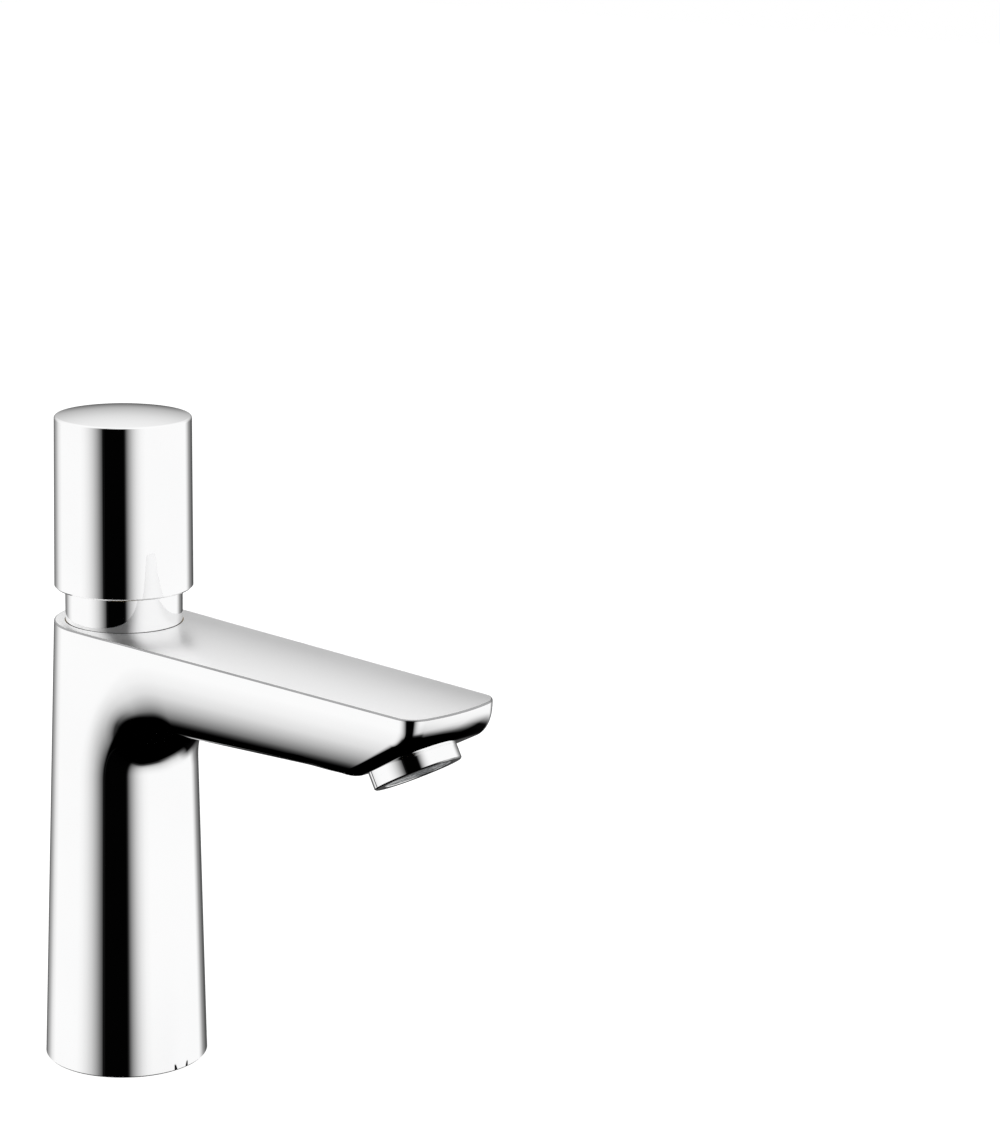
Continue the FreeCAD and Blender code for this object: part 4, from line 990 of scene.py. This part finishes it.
def turned_group():
    """Shared marks of turning: fine rings about the upright axis, a little uneven."""
    group, start, end = effect_group(
        "TapTurnedMarks",
        [("Pitch", "NodeSocketFloat", 400.0)],
        [("Height", "NodeSocketFloat"), ("Mask", "NodeSocketFloat")],
    )
    place = group.nodes.new("ShaderNodeTexCoord").outputs["Object"]
    rings = put(
        group, "ShaderNodeTexWave", {"Vector": place, "Distortion": 1.2, "Detail": 2.0, "Detail Scale": 2.0},
        wave_type="RINGS", rings_direction="Z",
    )
    group.links.new(start.outputs["Pitch"], rings.inputs["Scale"])
    worn = noise(group, place, 90.0, 3.0)
    group.links.new(rings.outputs["Fac"], end.inputs["Height"])
    group.links.new(ranged(group, worn.outputs["Fac"], 0.0, 1.0), end.inputs["Mask"])
    return group


def finish(name, groups, base, shade, patch, grain, rough, relief, metallic=0.0, turned=0.0, coat=0.0):
    """Material from the shared detail: base and shade colours, scales, roughness range and relief depth."""
    material = bpy.data.materials.new(name)
    material.use_nodes = True
    tree = material.node_tree
    shader = tree.nodes["Principled BSDF"]
    detail = put(tree, "ShaderNodeGroup", node_tree=groups["surface"])
    for key, value in (
        ("Base", (*base, 1.0)), ("Shade", (*shade, 1.0)), ("Patch Scale", patch), ("Grain Scale", grain),
        ("Rough Low", rough[0]), ("Rough High", rough[1]),
    ):
        detail.inputs[key].default_value = value
    tree.links.new(detail.outputs["Color"], shader.inputs["Base Color"])
    tree.links.new(detail.outputs["Roughness"], shader.inputs["Roughness"])
    shader.inputs["Metallic"].default_value = metallic
    shader.inputs["Coat Weight"].default_value = coat
    normal = None
    if relief > 0:
        inputs = {"Height": detail.outputs["Height"], "Distance": relief, "Strength": 0.6}
        normal = put(tree, "ShaderNodeBump", inputs).outputs["Normal"]
    if turned > 0:
        marks = put(tree, "ShaderNodeGroup", node_tree=groups["turned"])
        inputs = {"Height": marks.outputs["Height"], "Distance": turned, "Strength": 0.5}
        if normal is not None:
            inputs["Normal"] = normal
        normal = put(tree, "ShaderNodeBump", inputs).outputs["Normal"]
    if normal is not None:
        tree.links.new(normal, shader.inputs["Normal"])
    return material


class TapFinishColours(bpy.types.PropertyGroup):
    """Colours of the finishes, in linear light."""

    chrome: colour("Chrome", 0.975, 0.975, 0.976, "Polished chrome")
    chrome_shade: colour("Chrome shade", 0.96, 0.96, 0.962, "Slightly dulled chrome")
    # Painted shade: this grey is painted on the top's fine round in place of the dark reflection line that
    # the round shows
    edge: colour("Edge", 0.42, 0.42, 0.425, "Fine edge of the top, where the polish shows dark")
    casting: colour("Casting", 0.56, 0.43, 0.24, "Raw brass inside the casting")
    brass: colour("Brass", 0.72, 0.55, 0.28, "Turned brass")
    steel: colour("Steel", 0.62, 0.62, 0.64, "Stainless steel")
    ceramic: colour("Ceramic", 0.86, 0.84, 0.8, "Lapped ceramic")
    white_plastic: colour("White plastic", 0.8, 0.8, 0.77, "Moulded white plastic")
    grey_plastic: colour("Grey plastic", 0.2, 0.215, 0.23, "Moulded grey plastic")
    insert_plastic: colour("Insert plastic", 0.3, 0.31, 0.32, "Plastic of the jet former")
    rubber: colour("Rubber", 0.018, 0.018, 0.019, "Black rubber")
    floor: colour("Floor", 0.9, 0.9, 0.9, "Pale floor of the studio")


def shaded(tone, share):
    """Darker colour: the share is of each channel."""
    return tuple(channel * share for channel in tone)


def make_materials(tones):
    """All finishes by their slot in the record, and the raw metal inside the casting."""
    groups = {"surface": surface_group(), "turned": turned_group()}

    def metal(name, tone, shade, patch, grain, rough, relief=0.0, metallic=1.0, turned=0.0):
        """Metal with a shade colour and the depth of its relief and its turning marks."""
        return finish(name, groups, tone, shade, patch, grain, rough, relief, metallic, turned)

    def chrome(name, patch):
        """Polished chrome, whose tone drifts in patches of this scale."""
        return metal(name, tones.chrome, tones.chrome_shade, patch, 900.0, (0.012, 0.035))

    def moulded(name, tone, rough, relief):
        """Moulded plastic or rubber with a fine grain."""
        return finish(name, groups, tone, shaded(tone, 0.86), 70.0, 2600.0, rough, relief)

    return {
        "body_chrome": chrome("BodyChrome", 22.0),
        "cap_chrome": chrome("CapChrome", 30.0),
        "sleeve_chrome": chrome("SleeveChrome", 34.0),
        "collar_chrome": chrome("CollarChrome", 38.0),
        "top": metal("TopChrome", tones.chrome, tones.chrome_shade, 30.0, 1500.0, (0.33, 0.37)),
        # Chrome painted dark along the top's fine edge: a painted shade line standing for a dark reflection
        "edge": metal("PaintedDarkEdgeChrome", tones.edge, shaded(tones.edge, 0.85), 60.0, 1500.0, (0.1, 0.2)),
        "casting": metal(
            "RawCasting", tones.casting, shaded(tones.casting, 0.6), 120.0, 1400.0, (0.42, 0.62),
            relief=0.00025, metallic=0.9,
        ),
        "brass": metal(
            "TurnedBrass", tones.brass, shaded(tones.brass, 0.8), 90.0, 2000.0, (0.2, 0.34),
            relief=0.00001, turned=0.00002,
        ),
        "steel": metal(
            "Steel", tones.steel, shaded(tones.steel, 0.85), 90.0, 2200.0, (0.16, 0.3),
            relief=0.00001, turned=0.000015,
        ),
        "ceramic": finish(
            "Ceramic", groups, tones.ceramic, shaded(tones.ceramic, 0.95), 60.0, 3000.0, (0.08, 0.16), 0.0,
            coat=0.4,
        ),
        "white_plastic": moulded("WhitePlastic", tones.white_plastic, (0.34, 0.46), 0.00003),
        "grey_plastic": moulded("GreyPlastic", tones.grey_plastic, (0.38, 0.5), 0.00003),
        "insert_plastic": moulded("InsertPlastic", tones.insert_plastic, (0.3, 0.42), 0.00002),
        "rubber": moulded("Rubber", tones.rubber, (0.55, 0.72), 0.00005),
    }


def ramp(tree, factor, stops, low, high):
    """Colour ramp over a range, from pairs of position and display value."""
    share = put(
        tree, "ShaderNodeMapRange", {"Value": factor, "From Min": low, "From Max": high}
    ).outputs["Result"]
    node = put(tree, "ShaderNodeValToRGB", {"Fac": share})
    elements = node.color_ramp.elements
    while len(elements) < len(stops):
        elements.new(0.5)
    for element, (place, value) in zip(elements, stops):
        element.position = (place - low) / (high - low)
        element.color = (light(value),) * 3 + (1.0,)
    return node.outputs["Color"]


def product(tree, first, second):
    """One colour times another, channel by channel."""
    return put(
        tree, "ShaderNodeMix", {"Factor": 1.0, "A": first, "B": second},
        data_type="RGBA", blend_type="MULTIPLY",
    ).outputs["Result"]


def number(tree, operation, *values):
    """Math node with these values or outputs, and what it gives."""
    node = put(tree, "ShaderNodeMath", operation=operation)
    for socket, value in zip(node.inputs, values):
        if isinstance(value, bpy.types.NodeSocket):
            tree.links.new(value, socket)
        else:
            socket.default_value = value
    return node.outputs["Value"]


# Studio round the object: pairs of an angle in degrees and a display value, by the direction's turn from
# the camera's side for BAND and the shares, and by its height above level for the others
BAND = [
    (-180, 252), (-76, 252), (-68, 246), (-60, 232), (-52, 207), (-45, 170), (-38, 108), (-33, 30), (-31, 2),
    (1, 2), (3, 40), (9, 152), (16, 204), (22, 230), (29, 246), (37, 252), (180, 252),
]
FLOOR_DARK = [(-90, 0), (-43, 0), (-40, 100), (-36, 180), (-32, 222), (-27, 242), (-21, 252), (90, 252)]
FLOOR_FRONT = [
    (-90, 0), (-42, 0), (-38, 60), (-35, 165), (-31, 213), (-27, 230), (-22, 244), (-17, 252), (90, 252),
]
FRONT_SHARE = [(-180, 0), (-85, 0), (-60, 255), (60, 255), (85, 0), (180, 0)]
REAR = [
    (-90, 60), (-12, 67), (-8, 84), (-2, 116), (3.5, 156), (9, 190), (15, 211), (21, 230), (27, 243),
    (36, 254), (90, 254),
]
REAR_SHARE = [
    (-180, 255), (-165, 246), (-147, 200), (-135, 120), (-124, 0), (126, 0), (133, 150), (141, 218),
    (155, 248), (180, 255),
]
REAR_FLOOR = [(-90, 255), (-34, 255), (-24, 0), (90, 0)]
REAR_FLOOR_SHARE = [(-180, 0), (100, 0), (122, 255), (165, 255), (180, 0)]
REAR_FLOOR_TONE = (0.005, 0.005, 0.005, 1.0)
BAND_TOP = (28.0, 60.0)
CORNER_TURN, CORNER_WIDTH = -33.0, 26.0
CORNER_HEIGHT, CORNER_DROP = -42.0, 20.0
CORNER_SOFT = 0.86
STUDIO_LEVEL = 1.05
WHITE = (1.0, 1.0, 1.0, 1.0)

# Floor and lamps, in metres and watts; the camera sees the floor brighter than other rays do
FLOOR_REACH = 4.0
FLOOR_LINES = 9
FLOOR_SCALE = 3.0
FLOOR_DRIFT = 0.97
FLOOR_SEEN = (0.3, 0.3, 0.3, 1.0)
FLOOR_GLOW = 0.84
LAMP_TARGET = (0.0, 0.0, 0.1)
LAMP_SIZE = 1.4
LAMPS = (("KeyLamp", (-1.2, 0.4, 1.6), 9.0), ("FillLamp", (1.3, -1.1, 1.3), 7.0))
FRAME_WIDTH = 36.0
FAR_CLIP = 20.0


def studio_world(camera_azimuth):
    """Soft studio by direction alone: a dark band, a dark floor and a grey rear, white elsewhere.

    The light is band * floor * rear * corner. The corner is a quarter ellipse that rounds the place where the
    dark band meets the dark floor: with a and d the turn and the drop past its middle, each over its own
    width, it darkens where sqrt(a^2 + d^2) nears 1.
    """
    world = bpy.data.worlds.new("Studio")
    world.use_nodes = True
    tree = world.node_tree
    tree.nodes.clear()
    way = tree.nodes.new("ShaderNodeTexCoord").outputs["Generated"]
    parts = put(tree, "ShaderNodeSeparateXYZ", {"Vector": way})
    turn = number(tree, "ARCTAN2", parts.outputs["Y"], parts.outputs["X"])
    offset = number(tree, "SUBTRACT", turn, camera_azimuth)
    azimuth = number(tree, "MULTIPLY", number(tree, "WRAP", offset, math.pi, -math.pi), 180 / math.pi)
    elevation = number(tree, "MULTIPLY", number(tree, "ARCSINE", parts.outputs["Z"]), 180 / math.pi)
    band = ramp(tree, azimuth, BAND, -180, 180)
    band = blended(tree, ranged(tree, elevation, 0.0, 1.0, *BAND_TOP), band, WHITE)
    front = ramp(tree, azimuth, FRONT_SHARE, -180, 180)
    dark, ahead = ramp(tree, elevation, FLOOR_DARK, -90, 90), ramp(tree, elevation, FLOOR_FRONT, -90, 90)
    floor = blended(tree, front, dark, ahead)
    level = (STUDIO_LEVEL,) * 3 + (1.0,)
    share, grey = ramp(tree, azimuth, REAR_SHARE, -180, 180), ramp(tree, elevation, REAR, -90, 90)
    rear = blended(tree, share, level, grey)
    low, share = ramp(tree, elevation, REAR_FLOOR, -90, 90), ramp(tree, azimuth, REAR_FLOOR_SHARE, -180, 180)
    rear = blended(tree, product(tree, low, share), rear, REAR_FLOOR_TONE)
    turn_past = number(tree, "ADD", azimuth, CORNER_WIDTH - CORNER_TURN)
    drop_past = number(tree, "SUBTRACT", CORNER_DROP + CORNER_HEIGHT, elevation)
    squares = [
        number(tree, "POWER", number(tree, "DIVIDE", number(tree, "MAXIMUM", past, 0.0), width), 2.0)
        for past, width in ((turn_past, CORNER_WIDTH), (drop_past, CORNER_DROP))
    ]
    past = number(tree, "SQRT", number(tree, "ADD", *squares))
    left = ranged(tree, azimuth, 1.0, 0.0, CORNER_TURN, CORNER_TURN + 1)
    corner = ranged(tree, past, 1.0, 0.0, CORNER_SOFT, 1.0)
    corner = number(tree, "MAXIMUM", corner, number(tree, "SUBTRACT", 1.0, left))
    studio = product(tree, product(tree, product(tree, band, floor), rear), corner)
    seen = tree.nodes.new("ShaderNodeLightPath").outputs["Is Camera Ray"]
    shown = blended(tree, seen, studio, WHITE)
    back = put(tree, "ShaderNodeBackground", {"Color": shown, "Strength": 1.0})
    end = put(tree, "ShaderNodeOutputWorld", {"Surface": back.outputs["Background"]})
    end.target = "ALL"
    return world


def studio_floor(tones):
    """Wide pale floor that keeps the object's soft shadow; mirrors look past it to the studio."""
    grid = np.linspace(-FLOOR_REACH, FLOOR_REACH, FLOOR_LINES)
    x, y = np.meshgrid(grid, grid)
    points = np.stack([x, y, np.zeros_like(x)], -1).reshape(-1, 3)
    index = np.arange(FLOOR_LINES**2).reshape(FLOOR_LINES, FLOOR_LINES)
    quads = np.stack([index[:-1, :-1], index[:-1, 1:], index[1:, 1:], index[1:, :-1]], -1).reshape(-1, 4)
    mesh = bpy.data.meshes.new("StudioFloor")
    mesh.from_pydata(points.tolist(), [], quads.tolist())
    floor = bpy.data.objects.new("StudioFloor", mesh)
    bpy.context.scene.collection.objects.link(floor)
    material = bpy.data.materials.new("PaleFloor")
    material.use_nodes = True
    tree = material.node_tree
    tree.nodes.clear()
    path = tree.nodes.new("ShaderNodeLightPath")
    place = tree.nodes.new("ShaderNodeTexCoord").outputs["Object"]
    drift = ranged(tree, noise(tree, place, FLOOR_SCALE).outputs["Fac"], 0.0, 1.0)
    tone = blended(tree, drift, (*tones.floor, 1.0), (*shaded(tones.floor, FLOOR_DRIFT), 1.0))
    matt = put(tree, "ShaderNodeBsdfDiffuse", {"Color": tone})
    dim = put(tree, "ShaderNodeBsdfDiffuse", {"Color": FLOOR_SEEN})
    glow = put(tree, "ShaderNodeEmission", {"Color": WHITE, "Strength": FLOOR_GLOW})
    bright = put(tree, "ShaderNodeAddShader")
    tree.links.new(dim.outputs["BSDF"], bright.inputs[0])
    tree.links.new(glow.outputs["Emission"], bright.inputs[1])
    seen = put(tree, "ShaderNodeMixShader", {"Fac": path.outputs["Is Camera Ray"]})
    tree.links.new(matt.outputs["BSDF"], seen.inputs[1])
    tree.links.new(bright.outputs["Shader"], seen.inputs[2])
    clear = tree.nodes.new("ShaderNodeBsdfTransparent")
    mixed = put(tree, "ShaderNodeMixShader", {"Fac": path.outputs["Is Glossy Ray"]})
    tree.links.new(seen.outputs["Shader"], mixed.inputs[1])
    tree.links.new(clear.outputs["BSDF"], mixed.inputs[2])
    put(tree, "ShaderNodeOutputMaterial", {"Surface": mixed.outputs["Shader"]})
    mesh.materials.append(material)
    return floor


def studio_lamp(name, place, power):
    """Soft square lamp that looks at the object and that mirrors don't show."""
    data = bpy.data.lights.new(name, "AREA")
    data.shape = "SQUARE"
    data.size = LAMP_SIZE
    data.energy = power
    lamp = bpy.data.objects.new(name, data)
    lamp.location = place
    lamp.rotation_euler = (Vector(LAMP_TARGET) - Vector(place)).to_track_quat("-Z", "Y").to_euler()
    lamp.visible_glossy = False
    bpy.context.scene.collection.objects.link(lamp)
    return lamp


class TapCameraSetup(bpy.types.PropertyGroup):
    """Where the photograph was taken from."""

    distance: length("Distance", 955.5371, "Distance from the point the camera circles")
    target_height: length("Target height", 90.0, "Height of the point the camera circles")
    azimuth: angle("Azimuth", -41.8132, "Turn about the upright axis, from the spout's side")
    elevation: angle("Elevation", 16.5761, "Height of the camera as an angle")
    yaw: angle("Yaw", -48.6250, "Direction of view about the upright axis")
    pitch: angle("Pitch", 13.0650, "Direction of view below level")
    roll: angle("Roll", 1.1799, "Roll about the view's direction")
    lens: FloatProperty(
        name="Lens", description="Focal length in millimetres on a 36 mm frame", default=103.553,
    )


def studio_camera(setup):
    """Camera at the fitted place, with its axes worked out from yaw, pitch and roll."""
    level, rise = math.cos(setup.elevation), math.sin(setup.elevation)
    from_target = np.array([math.sin(setup.azimuth) * level, -math.cos(setup.azimuth) * level, rise])
    place = from_target * setup.distance + UPRIGHT * setup.target_height
    flat, fall = math.cos(setup.pitch), -math.sin(setup.pitch)
    ahead = np.array([-math.sin(setup.yaw) * flat, math.cos(setup.yaw) * flat, fall])
    right = np.array([math.cos(setup.yaw), math.sin(setup.yaw), 0.0])
    up = np.cross(right, ahead)
    rolled_right = math.cos(setup.roll) * right + math.sin(setup.roll) * up
    rolled_up = -math.sin(setup.roll) * right + math.cos(setup.roll) * up
    turn = Matrix(np.stack([rolled_right, rolled_up, -ahead], -1).tolist()).to_4x4()
    data = bpy.data.cameras.new("TapCamera")
    data.lens = setup.lens
    data.sensor_width = FRAME_WIDTH
    data.clip_end = FAR_CLIP
    camera = bpy.data.objects.new("TapCamera", data)
    camera.matrix_world = Matrix.Translation(Vector(place.tolist())) @ turn
    bpy.context.scene.collection.objects.link(camera)
    bpy.context.scene.camera = camera
    return camera


def record_slot(node):
    """Material slot that the record names for a node."""
    return next(row["material_slot"] for row in frame["record"]["subparts"] if row["node"] == node)


def made_materials(*names):
    """Materials that the first operator made."""
    return [bpy.data.materials[name] for name in names]


class TAP_OT_finishes(bpy.types.Operator):
    """Make all finishes and put them on the nodes that stay as they are"""

    bl_idname = "tap.finishes"
    bl_label = "Finishes"

    def execute(self, context):
        finishes = make_materials(context.scene.tap_colours)
        for name, node in frame["nodes"].items():
            node.data.materials.clear()
            node.data.materials.append(finishes[record_slot(name)])
        return {"FINISHED"}


class TAP_OT_casting(bpy.types.Operator):
    """Build the casting's smooth outside with its hollows"""

    bl_idname = "tap.casting"
    bl_label = "Casting"

    def execute(self, context):
        scene = context.scene
        # The last material is chrome painted dark, a painted shade along the top's fine edge
        materials = made_materials("BodyChrome", "RawCasting", "TopChrome", "PaintedDarkEdgeChrome")
        made = build_casting(scene.tap_casting, scene.tap_outlet, scene.tap_counts, materials)
        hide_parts("tap_body")
        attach(made, "body")
        return {"FINISHED"}


class TAP_OT_cap(bpy.types.Operator):
    """Build the push cap"""

    bl_idname = "tap.cap"
    bl_label = "Cap"

    def execute(self, context):
        scene = context.scene
        made = build_cap(scene.tap_cap, scene.tap_counts, made_materials("CapChrome"))
        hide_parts("push_cap")
        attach(made, "button")
        return {"FINISHED"}


class TAP_OT_neck(bpy.types.Operator):
    """Build the neck sleeve"""

    bl_idname = "tap.neck"
    bl_label = "Neck sleeve"

    def execute(self, context):
        scene = context.scene
        made = build_neck(scene.tap_cap, scene.tap_counts, made_materials("SleeveChrome"))
        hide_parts("neck_sleeve")
        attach(made, "body")
        return {"FINISHED"}


class TAP_OT_collar(bpy.types.Operator):
    """Build the outlet's collar"""

    bl_idname = "tap.collar"
    bl_label = "Outlet collar"

    def execute(self, context):
        scene = context.scene
        made = build_collar(scene.tap_outlet, scene.tap_counts, made_materials("CollarChrome"))
        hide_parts("aerator_housing")
        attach(made, "body")
        return {"FINISHED"}


class TAP_OT_studio(bpy.types.Operator):
    """Set up the floor, the studio, the lamps and the camera"""

    bl_idname = "tap.studio"
    bl_label = "Studio"

    def execute(self, context):
        scene = context.scene
        camera = studio_camera(scene.tap_camera)
        scene.world = studio_world(math.atan2(camera.location.y, camera.location.x))
        studio_floor(scene.tap_colours)
        for lamp in LAMPS:
            studio_lamp(*lamp)
        scene.view_settings.view_transform = "Standard"
        return {"FINISHED"}


class TAP_PT_panel(bpy.types.Panel):
    """Sizes, colours and build steps of the tap"""

    bl_idname = "TAP_PT_panel"
    bl_label = "Basin mixer tap"
    bl_space_type = "VIEW_3D"
    bl_region_type = "UI"
    bl_category = "Tap"

    def draw(self, context):
        column = self.layout.column(align=True)
        for step in STEPS:
            column.operator(step.bl_idname)
        for attribute, kind in SETTINGS:
            box = self.layout.box()
            box.label(text=kind.__doc__)
            for name in kind.__annotations__:
                box.prop(getattr(context.scene, attribute), name)


STEPS = (TAP_OT_finishes, TAP_OT_casting, TAP_OT_cap, TAP_OT_neck, TAP_OT_collar, TAP_OT_studio)
SETTINGS = (
    ("tap_casting", TapCastingSizes), ("tap_outlet", TapOutletSizes), ("tap_cap", TapCapSizes),
    ("tap_counts", TapMeshCounts), ("tap_colours", TapFinishColours), ("tap_camera", TapCameraSetup),
)


def register():
    """Make the classes known, and hang the settings on the scene."""
    for _, kind in SETTINGS:
        bpy.utils.register_class(kind)
    for kind in STEPS + (TAP_PT_panel,):
        bpy.utils.register_class(kind)
    for attribute, kind in SETTINGS:
        setattr(bpy.types.Scene, attribute, PointerProperty(type=kind))


def unregister():
    """Undo register, in the opposite order."""
    for attribute, _ in SETTINGS:
        delattr(bpy.types.Scene, attribute)
    for kind in (TAP_PT_panel,) + STEPS[::-1]:
        bpy.utils.unregister_class(kind)
    for _, kind in SETTINGS[::-1]:
        bpy.utils.unregister_class(kind)


def main():
    """Build everything in order."""
    register()
    bpy.ops.tap.finishes()
    bpy.ops.tap.casting()
    bpy.ops.tap.cap()
    bpy.ops.tap.neck()
    bpy.ops.tap.collar()
    bpy.ops.tap.studio()
    bpy.context.view_layer.update()


if __name__ == "__main__":
    main()
